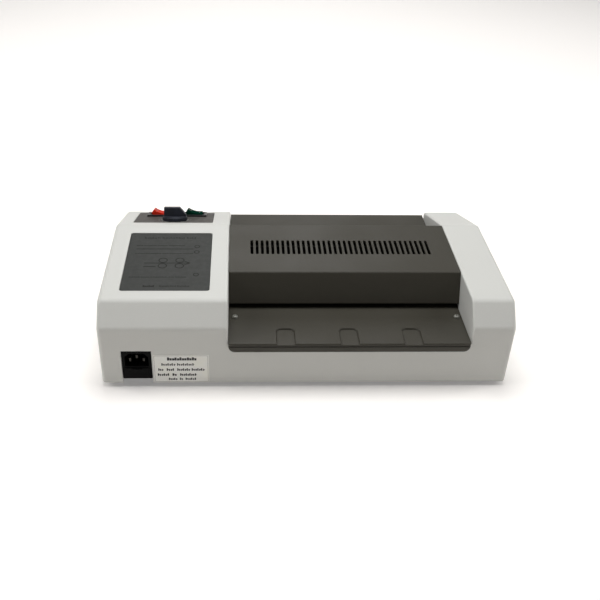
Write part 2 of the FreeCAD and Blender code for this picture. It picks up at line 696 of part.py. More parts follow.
def inlet_bracket():
    plate = box(INLET_X - 20, INLET_X + 20, 126.4, 128, BASE_TOP, 50)
    window = box(INLET_X - 13.6, INLET_X + 13.6, 126, 129, INLET_Z[0] + 1.9, INLET_Z[1] - 0.9)
    foot = box(INLET_X - 20, INLET_X + 20, 112, 128, BASE_TOP, BASE_TOP + 1.6)
    bracket = join(plate, foot).cut(window)
    for x, y in inlet_bracket_screws():
        bracket = bracket.cut(rod_z(BASE_Z, 14, x, y, SCREW_HOLE_RADIUS))
    return bracket


def inlet_bracket_screws():
    return ((INLET_X - 17.1, 118.0), (INLET_X + 17.1, 118.0))


def fuse_drawer():
    z0, z1 = DRAWER_Z
    body = box(INLET_X - 11.4, INLET_X + 11.4, 119, INLET_FACE, z0, z1)
    body = body.cut(box(INLET_X - 10.3, INLET_X + 10.3, 120.3, 127.3, z0 + 1.4, z1 + 1))
    front = rounded_prism_y(INLET_X, 12.4, z0 - 0.9, z1 + 0.9, INLET_FACE, INLET_FACE + 1.2, 0.8)
    grip = box(INLET_X - 5, INLET_X + 5, INLET_FACE + 1.0, INLET_FACE + 2.4, z1 - 0.8, z1 + 0.4)
    return join(body, front, grip)


def fuse():
    return rod_x(INLET_X - 10, INLET_X + 10, 123.8, DRAWER_Z[0] + 1.4 + 2.65, 2.6)


# ================================================================ chassis
def chassis_screw_list():
    """Identical M3 screws: (length, head seat, shank direction)."""
    down = (0, 0, -1)
    screws = []
    for y in (-42.0, 12.0, 62.0):
        screws.append((5, (92.0, y, FLANGE_TOP), down))
        screws.append((5, (-180.0, y, FLANGE_TOP), down))
    for y in (-36.0, 86.0):
        screws.append((5, (106.0, y, FLANGE_TOP), down))
    for x, y in inlet_bracket_screws():
        screws.append((5, (x, y, BASE_TOP + 1.6), down))
    for y, z in TIE_BARS:
        screws.append((9, (DRIVE_FRAME_X[1], y, z), (-1, 0, 0)))
        screws.append((9, (IDLE_FRAME_X[0], y, z), (1, 0, 0)))
    screws.append((3.6, (DRIVE_FRAME_X[1] + 0.8, IDLER_Y, 80.5), (-1, 0, 0)))
    screws.append((3.6, (IDLE_FRAME_X[0] - 0.8, IDLER_Y, 80.5), (1, 0, 0)))
    for x in BOARD_CORNERS_X:
        for y in BOARD_CORNERS_Y:
            screws.append((6, (x, y, BOARD_Z + BOARD_THICK), down))
    for y, z in MOTOR_EARS:
        screws.append((6, (GEAR_PLATE_X[1] + 2.0, y, z), (-1, 0, 0)))
    return screws


BOARD_CORNERS_X = (BOARD_X[0] + 5, BOARD_X[1] - 5)
BOARD_CORNERS_Y = (BOARD_Y[0] + 5, BOARD_Y[1] - 5)
MOTOR_EARS = ((PINION_Y, LOWER_Z + 29.5), (PINION_Y + 29.5, LOWER_Z))


def chassis_screws():
    return Part.makeCompound([placed_screw(*spec) for spec in chassis_screw_list()])


def base_plate():
    plate = box(HOUSING_X0 + 3, HOUSING_X1 - 3, -HALF_DEPTH + 3, HALF_DEPTH - 3, BASE_Z, BASE_TOP)
    cuts = [rod_z(BASE_Z - 1, BASE_TOP + 1, x, y, 1.8) for x, y in housing_screw_places()]
    foot_places = [(sx * FOOT_X, sy * FOOT_Y) for sx in (-1, 1) for sy in (-1, 1)]
    cuts += [rod_z(BASE_Z - 1, BASE_TOP + 1, x, y, 1.7) for x, y in foot_places]
    for length, seat, direction in chassis_screw_list():
        if direction[2] < 0 and seat[2] < BOARD_Z:
            cuts.append(rod_z(BASE_Z - 1, BASE_TOP + 1, seat[0], seat[1], SCREW_HOLE_RADIUS))
    for index in range(14):
        x = -122.0 + index * 13.0
        for y in (-95.0, 75.0):
            cuts.append(rounded_box(x - 2, x + 2, y, y + 26, BASE_Z - 1, BASE_TOP + 1, 1.9))
    return plate.cut(Part.makeCompound(cuts))


def feet_places():
    return [(sx * FOOT_X, sy * FOOT_Y) for sx in (-1, 1) for sy in (-1, 1)]


def rubber_feet():
    feet = []
    for x, y in feet_places():
        foot = rod_z(0, BASE_Z, x, y, FOOT_RADIUS)
        foot = foot.makeFillet(1.0, edges_at(foot, lambda b: b.ZMax < 0.01))
        foot = foot.cut(rod_z(-1, 4.0, x, y, 3.6)).cut(rod_z(3, BASE_Z + 1, x, y, SCREW_HOLE_RADIUS))
        feet.append(foot)
    return Part.makeCompound(feet)


def foot_screws():
    return Part.makeCompound([placed_screw(9, (x, y, 4.0), (0, 0, 1)) for x, y in feet_places()])


def foot_nuts():
    return Part.makeCompound([hexagon_z(BASE_TOP, BASE_TOP + 2.2, x, y, 5.5, SCREW_HOLE_RADIUS)
                              for x, y in feet_places()])


def housing_screws():
    return Part.makeCompound([placed_screw(12, (x, y, BASE_Z), (0, 0, 1)) for x, y in housing_screw_places()])


# ================================================================ roller frame
def side_frame(x0, x1, outward):
    """Steel side plate with two round holes and two slots open at the top for the bushes."""
    plate = box(x0, x1, *FRAME_Y, BASE_TOP, FRAME_TOP)
    corner = edges_at(plate, lambda b: b.XLength > 1 and b.ZMin > FRAME_TOP - 0.01)
    plate = plate.makeFillet(6.0, corner)
    tab = box(x0, x1, IDLER_Y - 8, IDLER_Y + 8, FRAME_TOP - 1, FRAME_TAB_TOP)
    edge = x1 if outward > 0 else x0
    flange_x = sorted((edge - outward * 0.5, edge + outward * FOOT_FLANGE))
    flange = box(*flange_x, *FRAME_Y, BASE_TOP, FLANGE_TOP)
    frame = join(plate, tab, flange)
    for y in (HEAT_Y, PULL_Y):
        frame = frame.cut(rod_x(x0 - 1, x1 + 1, y, LOWER_Z, BUSH_RADIUS))
        frame = frame.cut(rod_x(x0 - 1, x1 + 1, y, UPPER_Z, BUSH_RADIUS))
        frame = frame.cut(box(x0 - 1, x1 + 1, y - BUSH_RADIUS, y + BUSH_RADIUS, UPPER_Z, FRAME_TOP + 1))
    frame = frame.cut(rod_x(x0 - 1, x1 + 1, IDLER_Y, 80.5, SCREW_HOLE_RADIUS))
    for y, z in TIE_BARS:
        frame = frame.cut(rod_x(x0 - 1, x1 + 1, y, z, SCREW_HOLE_RADIUS))
    screw_x = 92.0 if outward > 0 else -180.0
    for y in (-42.0, 12.0, 62.0):
        frame = frame.cut(rod_z(BASE_Z, FLANGE_TOP + 1, screw_x, y, SCREW_HOLE_RADIUS))
    return frame


def drive_side_frame():
    frame = side_frame(*DRIVE_FRAME_X, 1)
    return frame.cut(rod_x(DRIVE_FRAME_X[0] - 1, DRIVE_FRAME_X[1] + 1, IDLER_Y, LOWER_Z, SHAFT_RADIUS))


def idle_side_frame():
    return side_frame(*IDLE_FRAME_X, -1)


def tie_bars():
    bars = []
    for y, z in TIE_BARS:
        bar = rod_x(IDLE_FRAME_X[1], DRIVE_FRAME_X[0], y, z, 4.0)
        bar = bar.cut(rod_x(IDLE_FRAME_X[1], IDLE_FRAME_X[1] + 10, y, z, SCREW_HOLE_RADIUS))
        bars.append(bar.cut(rod_x(DRIVE_FRAME_X[0] - 10, DRIVE_FRAME_X[0], y, z, SCREW_HOLE_RADIUS)))
    return Part.makeCompound(bars)


def roller_places():
    return [(y, z) for y in (HEAT_Y, PULL_Y) for z in (LOWER_Z, UPPER_Z)]


def roller_bushes():
    bushes = []
    bore = JOURNAL_RADIUS + RUNNING_GAP
    frames = ((DRIVE_FRAME_X, DRIVE_FRAME_X[0], -1), (IDLE_FRAME_X, IDLE_FRAME_X[1], 1))
    for y, z in roller_places():
        for frame_x, inner, inward in frames:
            flange_x = sorted((inner, inner + inward))
            outer = join(rod_x(*frame_x, y, z, BUSH_RADIUS), rod_x(*flange_x, y, z, BUSH_FLANGE_RADIUS))
            bushes.append(outer.cut(rod_x(frame_x[0] - 3, frame_x[1] + 3, y, z, bore)))
    return Part.makeCompound(bushes)


def leaf_spring(frame_x, outward):
    """Flat spring across the top of one frame: its tips press on both upper bushes."""
    face = frame_x[1] if outward > 0 else frame_x[0]
    inner = frame_x[0] if outward > 0 else frame_x[1]
    x0, x1 = sorted((inner, face + outward * 1.4))
    thick = 0.8
    bush_top = UPPER_Z + BUSH_RADIUS
    outline = []
    for lift in (0.0, thick):
        run = [(HEAT_Y - 5, bush_top + 1.2), (HEAT_Y - 2, bush_top), (HEAT_Y + 2, bush_top),
               (IDLER_Y - 8, FRAME_TAB_TOP), (IDLER_Y + 8, FRAME_TAB_TOP),
               (PULL_Y - 2, bush_top), (PULL_Y + 2, bush_top), (PULL_Y + 5, bush_top + 1.2)]
        if lift:
            run.reverse()
        outline += [(y, z + lift) for y, z in run]
    strip = polygon_x(outline, x0, x1)
    ear_x = sorted((face, face + outward * thick))
    ear = box(*ear_x, IDLER_Y - 6, IDLER_Y + 6, 76, FRAME_TAB_TOP + thick / 2)
    ear = ear.cut(rod_x(ear_x[0] - 1, ear_x[1] + 1, IDLER_Y, 80.5, SCREW_HOLE_RADIUS))
    return join(strip, ear)


def pressure_springs():
    return Part.makeCompound([leaf_spring(DRIVE_FRAME_X, 1), leaf_spring(IDLE_FRAME_X, -1)])


def heater_rods():
    return Part.makeCompound([rod_x(*HEATER_X, HEAT_Y, z, HEATER_RADIUS) for z in (LOWER_Z, UPPER_Z)])


HEATER_BRACKET_X = (-182.0, -180.5)


def heater_holders():
    holders = []
    for z in (LOWER_Z, UPPER_Z):
        for plate_x, flange_x in ((GEAR_PLATE_X, (GEAR_PLATE_X[1], GEAR_PLATE_X[1] + 3.5)),
                                  (HEATER_BRACKET_X, (HEATER_BRACKET_X[0] - 3.5, HEATER_BRACKET_X[0]))):
            collar = join(rod_x(*plate_x, HEAT_Y, z, 7.0), rod_x(*flange_x, HEAT_Y, z, 9.0))
            holders.append(collar.cut(rod_x(*HEATER_X, HEAT_Y, z, HEATER_RADIUS)))
    return Part.makeCompound(holders)


def heater_bracket():
    """Channel on the idle side frame that holds the far ends of the heater rods."""
    y0, y1 = HEAT_Y - 11, HEAT_Y + 11
    web = box(*HEATER_BRACKET_X, y0, y1, 32, 86)
    low = box(HEATER_BRACKET_X[0], IDLE_FRAME_X[0], y0, y1, 32, 33.5)
    mid = box(HEATER_BRACKET_X[0], IDLE_FRAME_X[0], y0, y1, NIP_Z - 0.75, NIP_Z + 0.75)
    bracket = join(web, low, mid)
    for z in (LOWER_Z, UPPER_Z):
        bracket = bracket.cut(rod_x(HEATER_BRACKET_X[0] - 1, HEATER_BRACKET_X[1] + 1, HEAT_Y, z, 7.0))
    return bracket


def heat_reflectors():
    x0, x1 = IDLE_FRAME_X[1], DRIVE_FRAME_X[0]
    sheet = 0.8
    y0, y1 = HEAT_Y - 16.8, HEAT_Y + 16.8
    upper = box(x0, x1, y0, y1, 66, 90.2).cut(box(x0, x1, y0 + sheet, y1 - sheet, 65, 90.2 - sheet))
    for end_x in (x0, x1):
        upper = upper.cut(box(end_x - 2.5, end_x + 2.5, y0, y1, 82, 91))
    lower = box(x0, x1, y0, y1, 29.6, 52).cut(box(x0, x1, y0 + sheet, y1 - sheet, 29.6 + sheet, 53))
    return Part.makeCompound([upper, lower])


def thermostat():
    front = HEAT_Y - 16.8
    solids = []
    for x in (-64.0, -18.0):
        disc = rod_y(front - 4.5, front, x, 76.0, 8.0)
        cap = rod_y(front - 6.5, front - 4.5, x, 76.0, 5.5)
        blades = [box(x + dx - 1.6, x + dx + 1.6, front - 4.0, front - 3.2, 83.0, 88.5) for dx in (-4.5, 4.5)]
        solids.append(join(disc, cap, *blades))
    return Part.makeCompound(solids)


def middle_guides():
    x0, x1 = IDLE_FRAME_X[1], DRIVE_FRAME_X[0]
    lower = polygon_x([(-4, 57.0), (28.5, 57.0), (28.5, 58.5), (-1, 58.5), (-4, 57.8)], x0, x1)
    upper = polygon_x([(-4, 64.0), (28.5, 64.0), (28.5, 62.5), (-1, 62.5), (-4, 63.2)], x0, x1)
    return Part.makeCompound([lower, upper])


# ================================================================ drive
def gear_plate():
    y0, y1 = -45.0, 102.0
    plate = box(*GEAR_PLATE_X, y0, y1, BASE_TOP, 88)
    corners = edges_at(plate, lambda b: b.XLength > 1 and b.ZMin > 87.9)
    plate = plate.makeFillet(8.0, corners)
    flange = box(GEAR_PLATE_X[1] - 0.5, GEAR_PLATE_X[1] + FOOT_FLANGE, y0, y1, BASE_TOP, FLANGE_TOP)
    plate = join(plate, flange)
    x0, x1 = GEAR_PLATE_X[0] - 1, GEAR_PLATE_X[1] + 1
    for z in (LOWER_Z, UPPER_Z):
        plate = plate.cut(rod_x(x0, x1, HEAT_Y, z, 7.0))
    plate = plate.cut(rod_x(x0, x1, IDLER_Y, LOWER_Z, SHAFT_RADIUS))
    plate = plate.cut(rod_x(x0, x1, PINION_Y, LOWER_Z, 6.0))
    for y, z in MOTOR_EARS:
        plate = plate.cut(rod_x(x0, x1, y, z, SCREW_HOLE_RADIUS))
    for y in (-36.0, 86.0):
        plate = plate.cut(rod_z(BASE_Z, FLANGE_TOP + 1, 106.0, y, SCREW_HOLE_RADIUS))
    return plate


def gear_motor():
    body = rod_x(*MOTOR_X, PINION_Y, LOWER_Z, MOTOR_RADIUS)
    body = body.makeFillet(2.0, edges_at(body, lambda b: b.XMin > MOTOR_X[1] - 0.01 and b.YLength > 10))
    ears = []
    for y, z in MOTOR_EARS:
        ears.append(rod_x(MOTOR_X[0], MOTOR_X[0] + 2, y, z, 5.0))
    middle = box(MOTOR_X[0], MOTOR_X[0] + 2, PINION_Y - 5, PINION_Y + 5, LOWER_Z + 20, LOWER_Z + 29.5)
    side = box(MOTOR_X[0], MOTOR_X[0] + 2, PINION_Y + 20, PINION_Y + 29.5, LOWER_Z - 5, LOWER_Z + 5)
    back = rod_x(MOTOR_X[1] - 0.5, MOTOR_X[1] + 3, PINION_Y, LOWER_Z, 7.0)
    motor = join(body, *ears, middle, side, back)
    for y, z in MOTOR_EARS:
        motor = motor.cut(rod_x(MOTOR_X[0] - 1, MOTOR_X[0] + 3, y, z, SCREW_HOLE_RADIUS))
    return motor.cut(rod_x(MOTOR_X[0] - 1, MOTOR_X[0] + 12, PINION_Y, LOWER_Z, SHAFT_RADIUS + RUNNING_GAP))


def motor_pinion():
    """Pinion with the motor's output shaft, which turns with it."""
    teeth = gear(PINION_TEETH, PINION_Y, LOWER_Z, 0.0, SHAFT_RADIUS)
    shaft = rod_x(GEAR_X[0], MOTOR_X[0] + 11, PINION_Y, LOWER_Z, SHAFT_RADIUS)
    return join(teeth, shaft)


def idler_stud():
    stud = rod_x(DRIVE_FRAME_X[0], GEAR_PLATE_X[1], IDLER_Y, LOWER_Z, SHAFT_RADIUS)
    return join(stud, rod_x(DRIVE_FRAME_X[1], GEAR_X[0] - 0.3, IDLER_Y, LOWER_Z, 5.0))


def idler_gear():
    wheel = gear(IDLER_TEETH, IDLER_Y, LOWER_Z, math.pi / IDLER_TEETH, SHAFT_RADIUS + RUNNING_GAP)
    for index in range(6):
        angle = math.radians(60 * index)
        hole_y = IDLER_Y + 8.5 * math.cos(angle)
        hole_z = LOWER_Z + 8.5 * math.sin(angle)
        wheel = wheel.cut(rod_x(GEAR_X[0], GEAR_X[1], hole_y, hole_z, 2.6))
    return wheel


def heat_core(z):
    """Thin aluminium tube with two stepped journals: the heater rod runs through it."""
    tube = rod_x(*SLEEVE_X, HEAT_Y, z, CORE_RADIUS)
    journal = rod_x(*JOURNAL_X, HEAT_Y, z, JOURNAL_RADIUS)
    core = join(tube, journal).cut(rod_x(*JOURNAL_X, HEAT_Y, z, 5.5))
    return core.cut(rod_x(SLEEVE_X[0] + 6, SLEEVE_X[1] - 6, HEAT_Y, z, 9.0))


def pull_core(z):
    tube = rod_x(*SLEEVE_X, PULL_Y, z, CORE_RADIUS)
    journal = rod_x(*JOURNAL_X, PULL_Y, z, JOURNAL_RADIUS)
    return join(tube, journal).cut(rod_x(*JOURNAL_X, PULL_Y, z, 5.5))


def sleeve(y, z):
    return tube_x(*SLEEVE_X, y, z, SLEEVE_RADIUS, CORE_RADIUS)


def roller_gear(y, z):
    phase = 0.0 if z == LOWER_Z else math.pi / ROLLER_TEETH
    return gear(ROLLER_TEETH, y, z, phase, JOURNAL_RADIUS)


# ================================================================ electronics
def control_board():
    board = box(*BOARD_X, *BOARD_Y, BOARD_Z, BOARD_Z + BOARD_THICK)
    for x in BOARD_CORNERS_X:
        for y in BOARD_CORNERS_Y:
            board = board.cut(rod_z(BOARD_Z - 1, BOARD_Z + 3, x, y, SCREW_HOLE_RADIUS))
    return board


def board_components():
    top = BOARD_Z + BOARD_THICK
    blocks = [
        (142, 170, 18, 46, 24),
        (174, 190, 20, 42, 15),
        (142, 158, -6, 10, 14),
        (166, 176, -16, 0, 3),
        (140, 184, -38, -30, CONNECTOR_HEIGHT),
        (140, 184, 56, 65, CONNECTOR_HEIGHT),
        (131.5, 140, -22, -12, CONNECTOR_HEIGHT),
    ]
    parts = [box(x0, x1, y0, y1, top, top + height) for x0, x1, y0, y1, height in blocks]
    parts += [rod_z(top, top + 16, 184, y, 5.0) for y in (-14, 2)]
    return Part.makeCompound(parts)


def board_standoffs():
    posts = []
    for x in BOARD_CORNERS_X:
        for y in BOARD_CORNERS_Y:
            post = rod_z(BASE_TOP, BOARD_Z, x, y, 3.0)
            posts.append(post.cut(rod_z(BOARD_Z - 5, BOARD_Z, x, y, SCREW_HOLE_RADIUS)))
    return Part.makeCompound(posts)


def wire(*points):
    """Round insulated lead along straight runs joined by tangent arcs."""
    corners = [vec(*p) for p in points]
    edges = []
    last = corners[0]
    for index in range(1, len(corners) - 1):
        corner = corners[index]
        before = (corners[index - 1] - corner).normalize()
        after = (corners[index + 1] - corner).normalize()
        half = before.getAngle(after) / 2
        reach = WIRE_BEND / math.tan(half)
        start = corner + before * reach
        end = corner + after * reach
        inward = (before + after).normalize()
        middle = corner + inward * (WIRE_BEND / math.sin(half) - WIRE_BEND)
        edges.append(Part.makeLine(last, start))
        edges.append(Part.Arc(start, middle, end).toShape())
        last = end
    edges.append(Part.makeLine(last, corners[-1]))
    along = (corners[1] - corners[0]).normalize()
    section = Part.Wire([Part.Circle(corners[0], along, WIRE_RADIUS).toShape()])
    return Part.Wire(edges).makePipeShell([section], True, False)


def slope_point(x, down, depth):
    """Place under the slope, as an (x, y, z) tuple: depth is measured square to the slope."""
    cos, sin = math.cos(math.radians(SLOPE_DEG)), math.sin(math.radians(SLOPE_DEG))
    return (x, CREASE_Y - down * cos + depth * sin, HOUSING_TOP - down * sin - depth * cos)


def wiring():
    """Insulated leads between the inlet, board, switches, dial control, motor and heaters."""
    landing = BOARD_Z + BOARD_THICK + CONNECTOR_HEIGHT
    back = INLET_BACK - 8
    leads = []
    for dx, dz in PIN_PLACES:
        x, z = INLET_X + dx, SOCKET_MID_Z + dz
        if dx:
            leads.append(wire((x, back, z), (x, 60, z), (x, 60, landing)))
        else:
            leads.append(wire((x, back, z), (x, 74, z), (x, 74, BASE_TOP)))
    ends = ((MODE_X, 0, 144), (MODE_X, 2, 150), (POWER_X, 0, 163.5), (POWER_X, 2, 176.5))
    for switch_x, terminal, board_x in ends:
        terminal_x = switch_x + TERMINAL_OFFSETS[terminal]
        start = slope_point(terminal_x, ROCKER_DOWN, SWITCH_DEPTH + 8)
        below = slope_point(terminal_x, ROCKER_DOWN, SWITCH_DEPTH + 17)
        leads.append(wire(start, below, (board_x, -70, 36), (board_x, -34, 36), (board_x, -34, landing)))
    for dx, board_x in ((-4, 155), (4, 159)):
        start = slope_point(KNOB_X + dx, KNOB_DOWN, WALL + 9)
        below = slope_point(KNOB_X + dx, KNOB_DOWN, WALL + 20)
        leads.append(wire(start, below, (board_x, -34, 48), (board_x, -34, landing)))
    motor_back = MOTOR_X[1] + 3
    for z, board_x in ((50, 150), (44, 144)):
        leads.append(wire((motor_back, 62.5, z), (board_x, 62.5, z), (board_x, 62.5, landing)))
    for z, board_x in ((LOWER_Z, 134), (UPPER_Z, 138)):
        leads.append(wire((HEATER_X[1], HEAT_Y, z), (board_x, HEAT_Y, z), (board_x, HEAT_Y, landing)))
    link_x = HEATER_X[0] - 8
    leads.append(wire((HEATER_X[0], HEAT_Y, LOWER_Z), (link_x, HEAT_Y, LOWER_Z), (link_x, HEAT_Y, UPPER_Z),
                      (HEATER_X[0], HEAT_Y, UPPER_Z)))
    return Part.makeCompound(leads)


# ================================================================ all pieces
def pieces():
    made = {
        "outer_housing": outer_housing(),
        "top_cover": top_cover(),
        "exit_tray": exit_tray(),
        "feed_tray": feed_tray(),
        "tray_screws": tray_screws(),
        "instruction_plate": instruction_plate(),
        "control_panel": control_panel(),
        "rating_label": rating_label(),
        "power_switch_body": switch_body(POWER_X),
        "mode_switch_body": switch_body(MODE_X),
        "switch_terminals": switch_terminals(),
        "power_rocker": rocker(POWER_X),
        "mode_rocker": rocker(MODE_X),
        "temperature_pot": temperature_pot(),
        "pot_nut": pot_nut(),
        "pot_shaft": pot_shaft(),
        "temperature_knob": temperature_knob(),
        "inlet_body": inlet_body(),
        "inlet_pins": inlet_pins(),
        "inlet_bracket": inlet_bracket(),
        "fuse_drawer": fuse_drawer(),
        "fuse": fuse(),
        "base_plate": base_plate(),
        "rubber_feet": rubber_feet(),
        "foot_screws": foot_screws(),
        "foot_nuts": foot_nuts(),
        "housing_screws": housing_screws(),
        "chassis_screws": chassis_screws(),
        "drive_side_frame": drive_side_frame(),
        "idle_side_frame": idle_side_frame(),
        "tie_bars": tie_bars(),
        "roller_bushes": roller_bushes(),
        "pressure_springs": pressure_springs(),
        "heater_rods": heater_rods(),
        "heater_holders": heater_holders(),
        "heater_bracket": heater_bracket(),
        "heat_reflectors": heat_reflectors(),
        "thermostat": thermostat(),
        "middle_guides": middle_guides(),
        "gear_plate": gear_plate(),
        "gear_motor": gear_motor(),
        "motor_pinion": motor_pinion(),
        "idler_stud": idler_stud(),
        "idler_gear": idler_gear(),
        "control_board": control_board(),
        "board_components": board_components(),
        "board_standoffs": board_standoffs(),
        "wiring": wiring(),
    }
    for level, z in (("lower", LOWER_Z), ("upper", UPPER_Z)):
        for pair, y, core in (("heat", HEAT_Y, heat_core), ("pull", PULL_Y, pull_core)):
            made[f"{level}_{pair}_roller_core"] = core(z)
            made[f"{level}_{pair}_roller_sleeve"] = sleeve(y, z)
            made[f"{level}_{pair}_roller_gear"] = roller_gear(y, z)
    return made


def main():
    os.makedirs("parts", exist_ok=True)
    for name, shape in pieces().items():
        if not shape.isValid():
            raise RuntimeError(name + " is not a valid shape")
        shape.exportStep("parts/" + name + ".step")
        print(name, len(shape.Solids), round(shape.Volume))


main()
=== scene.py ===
"""Looks for the pouch laminator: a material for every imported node, printed marks and a small studio."""

import json
import math

import bmesh
import bpy
from mathutils import Euler, Matrix, Vector


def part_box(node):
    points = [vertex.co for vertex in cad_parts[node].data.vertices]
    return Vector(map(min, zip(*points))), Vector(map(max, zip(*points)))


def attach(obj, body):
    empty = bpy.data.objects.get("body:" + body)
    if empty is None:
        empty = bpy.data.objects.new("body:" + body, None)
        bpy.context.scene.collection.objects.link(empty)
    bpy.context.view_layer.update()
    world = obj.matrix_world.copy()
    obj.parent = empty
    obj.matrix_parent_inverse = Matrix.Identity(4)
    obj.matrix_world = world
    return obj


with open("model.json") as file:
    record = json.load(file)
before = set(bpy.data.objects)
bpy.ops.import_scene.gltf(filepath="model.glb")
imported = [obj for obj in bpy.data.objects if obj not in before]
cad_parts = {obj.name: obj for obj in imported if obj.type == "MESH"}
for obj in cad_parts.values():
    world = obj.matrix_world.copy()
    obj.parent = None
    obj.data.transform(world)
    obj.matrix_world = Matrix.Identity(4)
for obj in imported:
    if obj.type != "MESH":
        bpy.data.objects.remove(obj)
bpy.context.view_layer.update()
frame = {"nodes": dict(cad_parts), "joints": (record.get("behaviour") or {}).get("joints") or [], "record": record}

MM = 0.001
JOINTS = {joint["name"]: joint for joint in frame["joints"]}
SLOT_OF_NODE = {part["node"]: part["material_slot"] for part in frame["record"]["subparts"]}

# ---------------------------------------------------------------- studio values
CAMERA_PLACE = (0.0667, 0.7813, 0.5565)
CAMERA_DOWN_DEG = 34.51
CAMERA_TURN_DEG = 180 - 2.52
CAMERA_ROLL_DEG = 1.42
CAMERA_LENS = 48.71
CAMERA_SHIFT = 0.05
FLOOR_HALF = 6.0
FLOOR_GLOW = 0.16
AIR_STRENGTH = 0.085
AIR_COLOUR = (1.0, 0.955, 0.925)
SOFTBOX_DISTANCE = 2.0
SOFTBOX_SIDE = 1.0
# Each softbox: degrees behind the zenith, towards -Y; degrees aside, towards +X; power in watts.
SOFTBOXES = {
    "overhead": (4, 0, 22.5),
    "behind": (50, 0, 8.5),
    "left": (0, 50, 13.5),
    "right": (0, -50, 11),
}

# ---------------------------------------------------------------- print values
INK_LIFT = 0.06 * MM
# The ticks that stand in for lines of print: their pitch and heights, as parts of the line's height,
# and the part of the pitch that is inked in plain rows.
TICK_PITCH = 0.62
TICK_HEIGHTS = (1.0, 0.72, 0.72, 0.95, 0.7)
PLAIN_INK = 0.45

# Each row of print, in millimetres: start, end, middle and height. Then the inked part of each tick's
# pitch, and the row's words, with its gaps as negative shares.
# The label's rows are measured from its lower left corner, as it is read.
LABEL_ROWS = (
    (14.3, 44.5, 30.9, 4.0, 0.85, (1,)),
    (8.2, 41.7, 23.7, 3.2, 0.6, (5, -0.5, 6)),
    (4.7, 52.3, 17.0, 3.3, 0.68, (2, -1.2, 3, -1, 5, -0.5, 5)),
    (3.8, 43.8, 10.3, 3.2, 0.72, (5, -1.2, 2, -1.2, 7)),
    (14.9, 43.6, 4.6, 2.9, 0.65, (4, -1, 1.6, -1, 5)),
)
LABEL_FRAME_INSET = 1.0 * MM
LABEL_FRAME_LINE = 0.22 * MM
# The plate's high rows are measured down from its top edge, and its low rows up from its bottom edge.
PLATE_HIGH_ROWS = (
    (16, 74, 10.3, 3.0, PLAIN_INK, (5, -0.4, 7, -0.4, 3)),
    (9, 62, 27, 1.8, PLAIN_INK, (2, -0.3, 4, -0.3, 3, -0.3, 5)),
    (9, 71, 43.9, 1.9, PLAIN_INK, (3, -0.3, 5, -0.3, 2, -0.3, 4, -0.3, 3)),
)
PLATE_LOW_ROWS = (
    (7, 67, 26, 1.9, PLAIN_INK, (4, -0.3, 3, -0.3, 6, -0.3, 2, -0.3, 4)),
    (23, 35, 8.9, 3.0, 0.8, (1,)),
    (40, 71, 8.9, 2.6, PLAIN_INK, (5, -0.3, 3, -0.3, 6)),
)
PLATE_RULE_START = 9 * MM
PLATE_RULE_STOP = 20 * MM
PLATE_RULE_DOWN = 34.8 * MM
PLATE_RULE_THICK = 0.9 * MM
# The plate's ringed symbols: two beside the high rows and one beside the low rows.
SYMBOL_RADII = (2.2 * MM, 3.1 * MM)
SYMBOL_INSET = 16 * MM
SYMBOLS_DOWN = (29 * MM, 40.7 * MM)
LOW_SYMBOL_INSET = 15 * MM
LOW_SYMBOL_UP = 30.8 * MM
# The plate's picture of a pouch between rollers.
PICTURE_DOWN = 63.5 * MM
PICTURE_LINE = 1.0 * MM
ROLLER_PLACES = (40 * MM, 58 * MM)
ROLLER_RADII = (3.9 * MM, 4.9 * MM)
ROLLER_OFFSET = 5.6 * MM
POUCH_ENDS = (20 * MM, 68 * MM)
TABLE_ENDS = (20 * MM, 33 * MM)
TABLE_DROP = 7 * MM
ARROW_ENDS = (63 * MM, 69 * MM)
ARROW_HALF = 3.6 * MM

# The dial's scale, with its radii measured from the knob's axis.
DIAL_STEPS = 10
DIAL_LOW_DEG = 240
DIAL_HIGH_DEG = -60
DIAL_RING = (15.2 * MM, 15.45 * MM)
DIAL_RING_SEGMENTS = 60
DIAL_TICK_FROM = 15.6 * MM
DIAL_TICK_TO = 16.9 * MM
DIAL_TICK_WIDTH = 0.35 * MM
DIGIT_RADIUS = 18.7 * MM
DIGIT_SIZE = 2.6 * MM
# The rocker keys' hollow tops, measured from the pivot in the key's own frame, and the marks on them.
ROCKER_TILT_DEG = 14
ROCKER_HOLLOW_LOW = 3.5 * MM
ROCKER_HOLLOW_RADIUS = 23.6 * MM
ROCKER_MARK_OUT = 5.6 * MM
ROCKER_MARK_LIFT = 0.12 * MM
OFF_RING = (1.6 * MM, 2.2 * MM)
ON_BAR_HALF = (0.3 * MM, 2.2 * MM)


